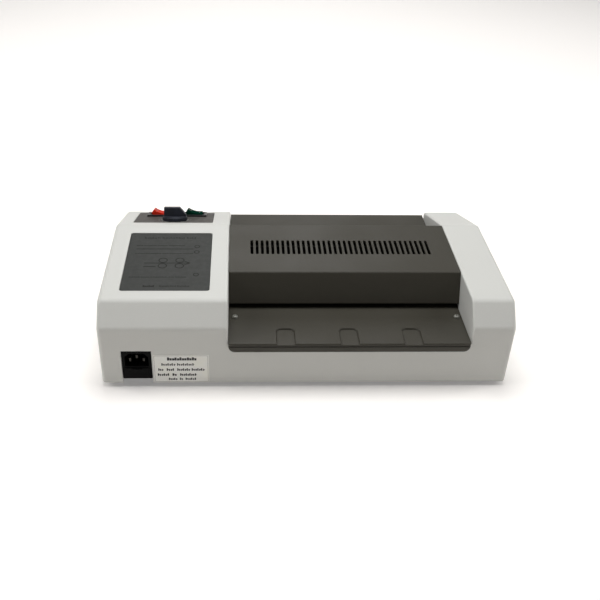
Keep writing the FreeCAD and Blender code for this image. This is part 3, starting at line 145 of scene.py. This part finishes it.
# ================================================================ shader helpers
class Finish:
    """One procedural material, built from noise fields in the row frame's metres."""

    def __init__(self, name):
        self.material = bpy.data.materials.new(name)
        self.material.use_nodes = True
        self.tree = self.material.node_tree
        self.shader = self.tree.nodes["Principled BSDF"]
        self.place = self.node("TexCoord").outputs["Object"]
        self.normal = None

    def node(self, kind, values=None, **settings):
        """A shader node. Values that are sockets are linked, and any others are set."""
        made = self.tree.nodes.new("ShaderNode" + kind)
        for name, value in settings.items():
            setattr(made, name, value)
        for name, value in (values or {}).items():
            self.feed(made.inputs[name], value)
        return made

    def feed(self, socket, value):
        if isinstance(value, bpy.types.NodeSocket):
            self.tree.links.new(value, socket)
        else:
            socket.default_value = value

    def set(self, **values):
        """Sets the surface shader's inputs, with underscores for the spaces in their names."""
        for name, value in values.items():
            self.feed(self.shader.inputs[name.replace("_", " ")], value)

    def stretched(self, x, y, z):
        return self.node("Mapping", {"Vector": self.place, "Scale": (x, y, z)}).outputs["Vector"]

    def noise(self, size, detail=2.0, place=None, rough=0.5):
        """Soft noise whose blobs are about size metres across, from 0 to 1."""
        values = {"Vector": place or self.place, "Scale": 1 / size, "Detail": detail, "Roughness": rough}
        return self.node("TexNoise", values).outputs["Fac"]

    def cells(self, size, feature="F1", place=None):
        values = {"Vector": place or self.place, "Scale": 1 / size}
        return self.node("TexVoronoi", values, feature=feature).outputs["Distance"]

    def ramp(self, field, low, high, start=0.0, end=1.0):
        """The field between start and end, stretched to run from low to high and held beyond."""
        values = {"Value": field, "From Min": start, "From Max": end, "To Min": low, "To Max": high}
        return self.node("MapRange", values).outputs["Result"]

    def maths(self, operation, a, b=0.0):
        made = self.node("Math", operation=operation)
        self.feed(made.inputs[0], a)
        self.feed(made.inputs[1], b)
        return made.outputs[0]

    def mix(self, factor, a, b):
        """Colour a where the factor is 0 and colour b where it is 1."""
        made = self.node("Mix", data_type="RGBA")
        self.feed(made.inputs["Factor"], factor)
        for socket, value in ((made.inputs[6], a), (made.inputs[7], b)):
            self.feed(socket, value if isinstance(value, bpy.types.NodeSocket) else (*value[:3], 1.0))
        return made.outputs[2]

    def soft_edges(self, radius):
        """Rounds the shading of sharp edges by this radius."""
        self.normal = self.node("Bevel", {"Radius": radius}, samples=4).outputs["Normal"]

    def edge_mask(self, radius):
        """1 on edges and corners, 0 on open faces."""
        rounded = self.node("Bevel", {"Radius": radius}, samples=4).outputs["Normal"]
        true = self.node("NewGeometry").outputs["Normal"]
        dot = self.node("VectorMath", operation="DOT_PRODUCT")
        self.feed(dot.inputs[0], rounded)
        self.feed(dot.inputs[1], true)
        return self.ramp(dot.outputs["Value"], 1.0, 0.0, 0.75, 0.995)

    def relief(self, field, depth, strength=1.0):
        """Adds a bump of this depth in metres to those already there."""
        values = {"Height": field, "Distance": depth, "Strength": strength}
        if self.normal is not None:
            values["Normal"] = self.normal
        self.normal = self.node("Bump", values).outputs["Normal"]

    def done(self):
        if self.normal is not None:
            self.feed(self.shader.inputs["Normal"], self.normal)
        return self.material


def shade(colour, factor):
    return tuple(channel * factor for channel in colour)


# ================================================================ materials
def moulded(name, colour, grain, depth, roughness, edge_wear_and_highlight=0.12, mottling=0.05, specular=0.3):
    """Spark-textured moulded plastic: fine grain, slow colour drift, and edges lightened, partly as worn by
    handling and partly as a painted edge highlight.
    """
    finish = Finish(name)
    finish.soft_edges(0.35 * MM)
    drift = finish.noise(70 * MM, 3)
    grit = finish.noise(grain, 2)
    pits = finish.cells(grain * 1.7)
    body = finish.mix(drift, shade(colour, 1 - mottling), shade(colour, 1 + mottling))
    speckled = finish.mix(finish.ramp(grit, 0.0, 0.35, 0.55, 0.75), body, shade(colour, 1.18))
    # Edges and corners, convex and concave alike, are lightened: partly worn by handling, partly a painted edge
    # highlight.
    worn_and_highlit_edges = finish.maths("MULTIPLY", finish.edge_mask(0.8 * MM), edge_wear_and_highlight)
    lightened = finish.mix(worn_and_highlit_edges, speckled, shade(colour, 1.7))
    finish.set(Base_Color=lightened, Roughness=finish.ramp(drift, roughness - 0.05, roughness + 0.07, 0.3, 0.7))
    finish.set(Specular_IOR_Level=specular)
    finish.relief(grit, depth)
    finish.relief(pits, depth * 0.6)
    return finish.done()


def glossy(name, colour, roughness, sheen_colour=None, coat=0.25, specular=0.3):
    """Polished moulded plastic with hair scratches, faint sink marks and cloudy patches of painted sheen in its
    colour.
    """
    finish = Finish(name)
    finish.soft_edges(0.25 * MM)
    hairs = finish.noise(0.5 * MM, 2, finish.stretched(0.06, 1, 1))
    clouds = finish.noise(9 * MM, 2)
    # Cloudy patches take the lighter sheen colour: a painted sheen in the base colour. The same clouds give the
    # faint sink marks as bumps.
    lit = sheen_colour or shade(colour, 1.5)
    body = finish.mix(finish.ramp(clouds, 0.0, 0.5, 0.35, 0.75), colour, lit)
    finish.set(Base_Color=body, Roughness=finish.ramp(hairs, roughness - 0.06, roughness + 0.1, 0.3, 0.7))
    finish.set(Coat_Weight=coat, Coat_Roughness=0.12, Specular_IOR_Level=specular)
    finish.relief(clouds, 0.03 * MM)
    finish.relief(hairs, 0.004 * MM)
    return finish.done()


def sheet_metal(name, colour, along, roughness, spangle=0.0):
    """Rolled or plated metal. The rolling lines run along the axis named by along."""
    finish = Finish(name)
    finish.soft_edges(0.15 * MM)
    scale = [1.0, 1.0, 1.0]
    scale["XYZ".index(along)] = 0.03
    lines = finish.noise(0.6 * MM, 4, finish.stretched(*scale), 0.6)
    stain = finish.noise(22 * MM, 3)
    flakes = finish.cells(5 * MM, "F1")
    tone = finish.mix(stain, shade(colour, 0.86), shade(colour, 1.08))
    toned = finish.mix(finish.ramp(flakes, 0.0, spangle, 0.2, 0.7), tone, shade(colour, 0.6))
    finish.set(Base_Color=toned, Metallic=1.0)
    finish.set(Roughness=finish.ramp(lines, roughness - 0.08, roughness + 0.14, 0.3, 0.7))
    finish.relief(lines, 0.008 * MM)
    return finish.done()


def turned_metal(name, colour, roughness):
    """Bar turned or ground about X: fine rings along its length."""
    finish = Finish(name)
    rings = finish.noise(0.35 * MM, 2, finish.stretched(1, 0.02, 0.02))
    stain = finish.noise(15 * MM, 2)
    finish.set(Base_Color=finish.mix(stain, shade(colour, 0.88), shade(colour, 1.06)), Metallic=1.0)
    finish.set(Roughness=finish.ramp(rings, roughness - 0.07, roughness + 0.12, 0.3, 0.7))
    finish.relief(rings, 0.01 * MM)
    return finish.done()


def plated_screw(name, colour):
    """Dull zinc with a faint yellow cast in places and small tool marks."""
    finish = Finish(name)
    finish.soft_edges(0.12 * MM)
    marks = finish.noise(0.4 * MM, 3)
    cast = finish.noise(3 * MM, 2)
    finish.set(Base_Color=finish.mix(cast, colour, (0.30, 0.29, 0.24)), Metallic=0.6)
    finish.set(Roughness=finish.ramp(marks, 0.42, 0.62, 0.3, 0.7))
    finish.relief(marks, 0.01 * MM)
    return finish.done()


def soft_rubber(name, colour, roughness, dust):
    """Rubber or silicone: fine skin grain with dust lying on it."""
    finish = Finish(name)
    skin = finish.noise(0.5 * MM, 3)
    lint = finish.noise(4 * MM, 4, rough=0.7)
    body = finish.mix(finish.ramp(lint, 0.0, dust, 0.5, 0.8), colour, (0.45, 0.43, 0.40))
    finish.set(Base_Color=body, Roughness=finish.ramp(skin, roughness - 0.06, roughness + 0.08, 0.3, 0.7))
    finish.set(Specular_IOR_Level=0.3)
    finish.relief(skin, 0.02 * MM)
    return finish.done()


def printed_plate(name, colour, roughness):
    """Satin film on a thin plate: a fine, mostly lengthwise grain."""
    finish = Finish(name)
    grain = finish.noise(0.35 * MM, 3, finish.stretched(0.25, 1, 1))
    cloud = finish.noise(30 * MM, 3)
    lightened = finish.noise(6 * MM, 4, rough=0.65)
    body = finish.mix(cloud, shade(colour, 0.93), shade(colour, 1.07))
    worn = finish.mix(finish.ramp(lightened, 0.0, 0.2, 0.55, 0.8), body, shade(colour, 1.35))
    finish.set(Base_Color=worn, Roughness=finish.ramp(lightened, roughness - 0.05, roughness + 0.1, 0.3, 0.7))
    finish.set(Specular_IOR_Level=0.35)
    finish.relief(grain, 0.012 * MM)
    return finish.done()


def label_paper():
    """Coated label stock with faint fibres and a slightly yellowed edge."""
    finish = Finish("label_paper")
    fibre = finish.noise(0.5 * MM, 4, finish.stretched(0.3, 1, 1), 0.7)
    age = finish.noise(18 * MM, 2)
    white = (0.82, 0.82, 0.78)
    aged = finish.mix(finish.ramp(age, 0.0, 0.6, 0.45, 0.8), white, (0.84, 0.82, 0.72))
    finish.set(Base_Color=finish.mix(finish.ramp(fibre, 0.0, 0.12, 0.4, 0.7), aged, (0.70, 0.70, 0.66)))
    finish.set(Roughness=finish.ramp(fibre, 0.32, 0.48, 0.3, 0.7))
    finish.relief(fibre, 0.01 * MM)
    return finish.done()


def ink(name, colour):
    """Screen-printed ink, a little uneven in its cover."""
    finish = Finish(name)
    cover = finish.noise(0.4 * MM, 3, rough=0.7)
    finish.set(Base_Color=finish.mix(finish.ramp(cover, 0.0, 0.4, 0.45, 0.75), colour, shade(colour, 1.6)))
    finish.set(Roughness=finish.ramp(cover, 0.55, 0.75, 0.3, 0.7), Specular_IOR_Level=0.12)
    finish.relief(cover, 0.01 * MM)
    return finish.done()


def circuit_board():
    """Green solder mask over copper tracks, with bare pads."""
    finish = Finish("board_green")
    tracks = finish.node("TexBrick", {
        "Vector": finish.place,
        "Color1": (0, 0, 0, 1), "Color2": (0.35, 0.35, 0.35, 1), "Mortar": (1, 1, 1, 1),
        "Scale": 60.0, "Mortar Size": 0.035, "Brick Width": 0.9, "Row Height": 0.23,
    }).outputs["Color"]
    pads = finish.ramp(finish.cells(5 * MM), 1.0, 0.0, 0.10, 0.13)
    mask = finish.mix(tracks, (0.010, 0.085, 0.030), (0.030, 0.200, 0.075))
    finish.set(Base_Color=finish.mix(pads, mask, (0.75, 0.72, 0.62)))
    finish.set(Metallic=finish.maths("MULTIPLY", pads, 0.8))
    finish.set(Roughness=finish.ramp(finish.noise(3 * MM, 2), 0.25, 0.4, 0.3, 0.7))
    finish.relief(tracks, 0.03 * MM)
    return finish.done()


def per_island(name, colours, roughness):
    """Each separate lump of the node takes one of the colours."""
    finish = Finish(name)
    which = finish.node("NewGeometry").outputs["Random Per Island"]
    ramp = finish.node("ValToRGB", {"Fac": which})
    ramp.color_ramp.interpolation = "CONSTANT"
    stops = ramp.color_ramp.elements
    while len(stops) < len(colours):
        stops.new(1.0)
    for index, colour in enumerate(colours):
        stops[index].position = index / len(colours)
        stops[index].color = (*colour, 1.0)
    grit = finish.noise(0.5 * MM, 2)
    cloud = finish.noise(8 * MM, 2)
    soiled = finish.mix(finish.ramp(cloud, 0.0, 0.25, 0.4, 0.8), ramp.outputs["Color"], (0.05, 0.05, 0.045))
    finish.set(Base_Color=soiled, Roughness=finish.ramp(grit, roughness - 0.06, roughness + 0.1, 0.3, 0.7))
    finish.relief(grit, 0.015 * MM)
    return finish.done()


def fuse_glass():
    """Clear tube between two plated end caps, told apart by their place along X."""
    finish = Finish("fuse_glass")
    low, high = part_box("fuse")
    middle, half = (low.x + high.x) / 2, (high.x - low.x) / 2
    across = finish.node("SeparateXYZ", {"Vector": finish.place}).outputs["X"]
    offset = finish.maths("ABSOLUTE", finish.maths("SUBTRACT", across, middle))
    cap = finish.maths("GREATER_THAN", offset, half * 0.62)
    finish.set(Base_Color=finish.mix(cap, (0.93, 0.97, 0.96), (0.70, 0.70, 0.68)), Metallic=cap)
    finish.set(Transmission_Weight=finish.maths("SUBTRACT", 1.0, cap))
    finish.set(Roughness=finish.ramp(finish.noise(1.5 * MM, 2), 0.04, 0.16, 0.3, 0.7), IOR=1.5)
    return finish.done()


def ceramic():
    finish = Finish("heater_ceramic")
    grit = finish.noise(0.6 * MM, 4, rough=0.7)
    scorch = finish.noise(10 * MM, 3)
    body = finish.mix(finish.ramp(scorch, 0.0, 0.5, 0.5, 0.8), (0.80, 0.77, 0.69), (0.45, 0.36, 0.25))
    finish.set(Base_Color=body, Roughness=finish.ramp(grit, 0.6, 0.85, 0.3, 0.7))
    finish.relief(grit, 0.04 * MM)
    return finish.done()


def floor_paper():
    """Seamless white studio paper."""
    finish = Finish("floor_paper")
    tooth = finish.noise(1.5 * MM, 2)
    cloud = finish.noise(0.8, 2)
    finish.set(Base_Color=finish.mix(cloud, (0.93, 0.900, 0.870), (0.95, 0.920, 0.890)))
    finish.set(Roughness=finish.ramp(tooth, 0.8, 0.95), Specular_IOR_Level=0.1)
    finish.set(Emission_Color=(1, 1, 1, 1), Emission_Strength=FLOOR_GLOW)
    return finish.done()


HOUSING = (0.600, 0.602, 0.572)
COVER = (0.043, 0.0395, 0.0295)
FINISHES = {
    "housing_white": moulded("housing_white", HOUSING, 0.8 * MM, 0.025 * MM, 0.46, 0.05, 0.012),
    "cover_grey": moulded("cover_grey", COVER, 0.9 * MM, 0.05 * MM, 0.50, 0.10, 0.05),
    "plate_grey": printed_plate("plate_grey", (0.027, 0.029, 0.026), 0.56),
    "panel_grey": printed_plate("panel_grey", (0.060, 0.055, 0.049), 0.52),
    "label_paper": label_paper(),
    "switch_black": glossy("switch_black", (0.006, 0.006, 0.0065), 0.38, None, 0.0),
    "inlet_black": moulded("inlet_black", (0.004, 0.004, 0.004), 0.6 * MM, 0.02 * MM, 0.60, 0.25, 0.1, 0.06),
    "knob_black": glossy("knob_black", (0.020, 0.022, 0.028), 0.45, (0.030, 0.035, 0.050), 0.0, 0.14),
    "rocker_red": glossy("rocker_red", (0.50, 0.022, 0.010), 0.50, (0.64, 0.045, 0.020), 0.0, 0.02),
    "rocker_green": glossy("rocker_green", (0.002, 0.022, 0.013), 0.50, (0.004, 0.036, 0.022), 0.0, 0.0),
    # The contact brass is painted nearly black: painted shade for the pins deep inside the inlet's socket.
    "contact_brass": sheet_metal("contact_brass", (0.060, 0.056, 0.050), "Y", 0.50),
    "pot_metal": sheet_metal("pot_metal", (0.58, 0.58, 0.56), "Z", 0.30),
    "sheet_steel": sheet_metal("sheet_steel", (0.52, 0.53, 0.54), "Y", 0.36, 0.25),
    # The reflector aluminium is painted nearly black: painted shade for the reflectors lying in the shade under
    # the cover.
    "reflector_aluminium": sheet_metal("reflector_aluminium", (0.022, 0.021, 0.020), "X", 0.60),
    "screw_steel": plated_screw("screw_steel", (0.27, 0.28, 0.27)),
    "bar_steel": turned_metal("bar_steel", (0.55, 0.55, 0.55), 0.28),
    "spring_steel": sheet_metal("spring_steel", (0.20, 0.22, 0.28), "Y", 0.32),
    "foot_rubber": soft_rubber("foot_rubber", (0.016, 0.016, 0.016), 0.75, 0.10),
    "bush_plastic": moulded("bush_plastic", (0.60, 0.55, 0.43), 0.6 * MM, 0.02 * MM, 0.42),
    "core_aluminium": turned_metal("core_aluminium", (0.76, 0.76, 0.77), 0.25),
    "silicone_red": soft_rubber("silicone_red", (0.38, 0.07, 0.045), 0.50, 0.06),
    "silicone_grey": soft_rubber("silicone_grey", (0.30, 0.30, 0.29), 0.50, 0.06),
    "gear_plastic": moulded("gear_plastic", (0.74, 0.71, 0.62), 0.5 * MM, 0.015 * MM, 0.34),
    "heater_ceramic": ceramic(),
    "thermostat_phenolic": glossy("thermostat_phenolic", (0.045, 0.038, 0.033), 0.35),
    "motor_metal": sheet_metal("motor_metal", (0.46, 0.47, 0.48), "X", 0.33, 0.1),
    "board_green": circuit_board(),
    "component_black": per_island("component_black", [
        (0.030, 0.030, 0.030), (0.55, 0.40, 0.08), (0.05, 0.06, 0.16), (0.62, 0.60, 0.52), (0.02, 0.02, 0.02),
    ], 0.42),
    "standoff_nylon": moulded("standoff_nylon", (0.72, 0.71, 0.66), 0.6 * MM, 0.02 * MM, 0.40),
    "wire_insulation": per_island("wire_insulation", [
        (0.35, 0.03, 0.02), (0.02, 0.02, 0.02), (0.03, 0.07, 0.30), (0.16, 0.06, 0.02), (0.50, 0.48, 0.42),
    ], 0.38),
    "fuse_glass": fuse_glass(),
}
INK_DARK = ink("ink_dark", (0.050, 0.050, 0.052))
INK_FAINT = ink("ink_faint", (0.018, 0.019, 0.017))
INK_PALE = ink("ink_pale", (0.62, 0.62, 0.58))
INK_GREY = ink("ink_grey", (0.28, 0.28, 0.26))


def finish_cad_nodes():
    for name, node in frame["nodes"].items():
        for slot in node.material_slots:
            slot.material = FINISHES[SLOT_OF_NODE[name]]


# ================================================================ mesh helpers
def piece(name, mesh_data, material, body):
    """Turns a bmesh into a piece that rides on a CAD body."""
    mesh = bpy.data.meshes.new(name)
    bmesh.ops.recalc_face_normals(mesh_data, faces=mesh_data.faces)
    mesh_data.to_mesh(mesh)
    mesh_data.free()
    mesh.materials.append(material)
    made = bpy.data.objects.new(name, mesh)
    bpy.context.scene.collection.objects.link(made)
    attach(made, body)
    return made


def extrude_outline(target, place, points, height):
    """A flat prism on the plane of place, from its surface up to height."""
    low = [target.verts.new(place @ Vector((x, y, 0))) for x, y in points]
    high = [target.verts.new(place @ Vector((x, y, height))) for x, y in points]
    target.faces.new(low)
    target.faces.new(high)
    for index in range(len(points)):
        after = (index + 1) % len(points)
        target.faces.new((low[index], low[after], high[after], high[index]))


def bar(target, place, x0, x1, y0, y1, height=INK_LIFT):
    """A rectangular mark."""
    extrude_outline(target, place, [(x0, y0), (x1, y0), (x1, y1), (x0, y1)], height)


def ring(target, place, centre, inner, outer, start=0.0, end=360.0, height=INK_LIFT, steps=28):
    """A flat ring, or a part of one, made of short segments."""
    for index in range(steps):
        outline = []
        for radius, end_of_step in ((inner, 0), (outer, 0), (outer, 1), (inner, 1)):
            angle = math.radians(start + (end - start) * (index + end_of_step) / steps)
            outline.append((centre[0] + radius * math.cos(angle), centre[1] + radius * math.sin(angle)))
        extrude_outline(target, place, outline, height)


def stroke(target, place, start, end, width):
    along = (Vector(end) - Vector(start)).normalized()
    side = Vector((-along.y, along.x)) * width / 2
    a, b = Vector(start), Vector(end)
    extrude_outline(target, place, [a - side, b - side, b + side, a + side], INK_LIFT)


def words(target, place, x0, x1, y, height, shares, heavy):
    """A row of wordless ticks, grouped as a line of print would be.

    Positive shares are words and negative ones gaps. heavy is the part of each tick's pitch that is inked.
    """
    unit = (x1 - x0) / sum(abs(share) for share in shares)
    low = y - height / 2
    x = x0
    for share in shares:
        width = abs(share) * unit
        count = max(1, round(width / (height * TICK_PITCH))) if share > 0 else 0
        for index in range(count):
            left = x + width * index / count
            right = left + width / count * heavy
            tall = height * TICK_HEIGHTS[index % len(TICK_HEIGHTS)]
            bar(target, place, left, right, low, low + tall)
            if index % 2 == 0:
                joiner = low + tall * 0.42
                bar(target, place, right, left + width / count, joiner, joiner + height * 0.2)
        x += width


def plane_at(origin, x_axis, y_axis):
    """A matrix whose local X and Y lie in a surface and whose Z stands off it."""
    x_axis, y_axis = Vector(x_axis).normalized(), Vector(y_axis).normalized()
    z_axis = x_axis.cross(y_axis)
    rotation = Matrix((x_axis, y_axis, z_axis)).transposed().to_4x4()
    return Matrix.Translation(Vector(origin)) @ rotation


# ================================================================ printed marks
def plate_marks():
    """Wordless rows and a simple picture of a pouch between rollers, printed on the instruction plate."""
    low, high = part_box("instruction_plate")
    # The reader stands at the exit side and looks along -Y, so the text runs towards -X.
    place = plane_at((high.x, high.y, high.z), (-1, 0, 0), (0, -1, 0))
    width, depth = high.x - low.x, high.y - low.y
    ink_mesh = bmesh.new()
    for x0, x1, down, tall, heavy, shares in PLATE_HIGH_ROWS:
        words(ink_mesh, place, x0 * MM, x1 * MM, depth - down * MM, tall * MM, shares, heavy)
    for x0, x1, up, tall, heavy, shares in PLATE_LOW_ROWS:
        words(ink_mesh, place, x0 * MM, x1 * MM, up * MM, tall * MM, shares, heavy)
    rule_low = depth - PLATE_RULE_DOWN
    bar(ink_mesh, place, PLATE_RULE_START, width - PLATE_RULE_STOP, rule_low, rule_low + PLATE_RULE_THICK)
    for down in SYMBOLS_DOWN:
        ring(ink_mesh, place, (width - SYMBOL_INSET, depth - down), *SYMBOL_RADII)
    ring(ink_mesh, place, (width - LOW_SYMBOL_INSET, LOW_SYMBOL_UP), *SYMBOL_RADII)
    roller_picture(ink_mesh, place, depth - PICTURE_DOWN)
    return piece("plate_marks", ink_mesh, INK_FAINT, "chassis")


def roller_picture(target, place, middle):
    """Two rollers over two, a pouch between them with an arrow along its travel, and the table it leaves."""
    for x in ROLLER_PLACES:
        for side in (-1, 1):
            ring(target, place, (x, middle + side * ROLLER_OFFSET), *ROLLER_RADII)
    stroke(target, place, (POUCH_ENDS[0], middle), (POUCH_ENDS[1], middle), PICTURE_LINE)
    table = middle - TABLE_DROP
    stroke(target, place, (TABLE_ENDS[0], table), (TABLE_ENDS[1], table), PICTURE_LINE)
    tail, tip = ARROW_ENDS
    for side in (-1, 1):
        stroke(target, place, (tail, middle + side * ARROW_HALF), (tip, middle), PICTURE_LINE)


def label_print():
    """Rows of wordless ticks and a hairline frame on the rating label."""
    low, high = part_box("rating_label")
    place = plane_at((high.x, high.y, low.z), (-1, 0, 0), (0, 0, 1))
    width, height = high.x - low.x, high.z - low.z
    ink_mesh = bmesh.new()
    for x0, x1, y, tall, heavy, shares in LABEL_ROWS:
        words(ink_mesh, place, x0 * MM, x1 * MM, y * MM, tall * MM, shares, heavy)
    edge, half_line = LABEL_FRAME_INSET, LABEL_FRAME_LINE / 2
    for y in (edge, height - edge):
        bar(ink_mesh, place, edge, width - edge, y - half_line, y + half_line)
    for x in (edge, width - edge):
        bar(ink_mesh, place, x - half_line, x + half_line, edge, height - edge)
    return piece("label_print", ink_mesh, INK_DARK, "chassis")


def digits(text, size, thick):
    """A mesh of the given digits, centred on the origin."""
    curve = bpy.data.curves.new("digits", "FONT")
    curve.body = text
    curve.size = size
    curve.align_x, curve.align_y = "CENTER", "CENTER"
    curve.extrude = thick / 2
    holder = bpy.data.objects.new("digits", curve)
    bpy.context.scene.collection.objects.link(holder)
    bpy.context.view_layer.update()
    mesh = bpy.data.meshes.new_from_object(holder.evaluated_get(bpy.context.evaluated_depsgraph_get()))
    bpy.data.objects.remove(holder)
    return mesh


def panel_plane():
    """The plane of the sloping panel, with its origin under the knob's centre, and Y up the slope."""
    joint = JOINTS["temperature_dial_turn"]
    normal = Vector(joint["axis"]).normalized()
    up = normal.cross(Vector((1, 0, 0)))
    return plane_at(Vector(joint["pos_m"]), (1, 0, 0), up)


def panel_marks():
    """The dial's scale, printed on the panel."""
    place = panel_plane()
    ink_mesh = bmesh.new()
    for step in range(DIAL_STEPS + 1):
        angle = math.radians(DIAL_LOW_DEG + (DIAL_HIGH_DEG - DIAL_LOW_DEG) * step / DIAL_STEPS)
        outward = Vector((math.cos(angle), math.sin(angle)))
        stroke(ink_mesh, place, outward * DIAL_TICK_FROM, outward * DIAL_TICK_TO, DIAL_TICK_WIDTH)
        if step % 2 == 0:
            mesh = digits(str(step), DIGIT_SIZE, INK_LIFT)
            centre = outward * DIGIT_RADIUS
            mesh.transform(place @ Matrix.Translation((centre.x, centre.y, INK_LIFT / 2)))
            ink_mesh.from_mesh(mesh)
            bpy.data.meshes.remove(mesh)
    ring(ink_mesh, place, (0, 0), *DIAL_RING, DIAL_LOW_DEG, DIAL_HIGH_DEG, steps=DIAL_RING_SEGMENTS)
    return piece("panel_marks", ink_mesh, INK_PALE, "chassis")


def rocker_marks(name, joint_name, body):
    """On and off marks, printed on the two halves of a rocker key's hollow top."""
    joint = JOINTS[joint_name]
    right = Vector((1, 0, 0))
    uphill = Vector(joint["axis"]).normalized()
    outward = right.cross(uphill)
    tilt = math.radians(ROCKER_TILT_DEG)
    key_x = right * math.cos(tilt) + outward * math.sin(tilt)
    key_z = outward * math.cos(tilt) - right * math.sin(tilt)
    ink_mesh = bmesh.new()
    for side in (-1, 1):
        lean = math.asin(side * ROCKER_MARK_OUT / ROCKER_HOLLOW_RADIUS)
        height = ROCKER_HOLLOW_LOW + ROCKER_HOLLOW_RADIUS * (1 - math.cos(lean))
        origin = Vector(joint["pos_m"]) + key_x * side * ROCKER_MARK_OUT + key_z * height
        place = plane_at(origin, key_x * math.cos(lean) + key_z * math.sin(lean), uphill)
        if side > 0:
            ring(ink_mesh, place, (0, 0), *OFF_RING, height=ROCKER_MARK_LIFT)
        else:
            half_x, half_y = ON_BAR_HALF
            bar(ink_mesh, place, -half_x, half_x, -half_y, half_y, ROCKER_MARK_LIFT)
    return piece(name, ink_mesh, INK_GREY, body)


# ================================================================ studio
def floor():
    mesh_data = bmesh.new()
    corners = [(-1, -1), (1, -1), (1, 1), (-1, 1)]
    mesh_data.faces.new([mesh_data.verts.new((x * FLOOR_HALF, y * FLOOR_HALF, 0)) for x, y in corners])
    mesh = bpy.data.meshes.new("floor")
    mesh_data.to_mesh(mesh)
    mesh_data.free()
    mesh.materials.append(floor_paper())
    made = bpy.data.objects.new("floor", mesh)
    bpy.context.scene.collection.objects.link(made)


def softbox(name, place, side, power):
    """A square light of that side that faces the object."""
    lamp = bpy.data.lights.new(name, "AREA")
    lamp.shape = "SQUARE"
    lamp.size = side
    lamp.energy = power
    made = bpy.data.objects.new(name, lamp)
    made.location = place
    made.rotation_euler = (-place).to_track_quat("-Z", "Y").to_euler()
    bpy.context.scene.collection.objects.link(made)


def studio():
    floor()
    for name, (behind, aside, power) in SOFTBOXES.items():
        behind, aside = math.radians(behind), math.radians(aside)
        upright = math.cos(aside)
        away = Vector((math.sin(aside), -math.sin(behind) * upright, math.cos(behind) * upright))
        softbox(name, away * SOFTBOX_DISTANCE, SOFTBOX_SIDE, power)
    world = bpy.data.worlds.new("studio_air")
    world.use_nodes = True
    air = world.node_tree.nodes["Background"]
    air.inputs["Color"].default_value = (*AIR_COLOUR, 1.0)
    air.inputs["Strength"].default_value = AIR_STRENGTH
    bpy.context.scene.world = world
    bpy.context.scene.view_settings.view_transform = "Standard"


def camera():
    data = bpy.data.cameras.new("camera")
    data.lens = CAMERA_LENS
    data.shift_x = CAMERA_SHIFT
    data.clip_start = 0.01
    made = bpy.data.objects.new("camera", data)
    tilt = Euler((math.radians(90 - CAMERA_DOWN_DEG), 0, math.radians(CAMERA_TURN_DEG)))
    roll = Matrix.Rotation(math.radians(CAMERA_ROLL_DEG), 4, "Z")
    made.matrix_world = Matrix.Translation(CAMERA_PLACE) @ tilt.to_matrix().to_4x4() @ roll
    bpy.context.scene.collection.objects.link(made)
    bpy.context.scene.camera = made


finish_cad_nodes()
plate_marks()
label_print()
panel_marks()
rocker_marks("power_rocker_marks", "power_rocker_press", "power_key")
rocker_marks("mode_rocker_marks", "mode_rocker_press", "mode_key")
studio()
camera()
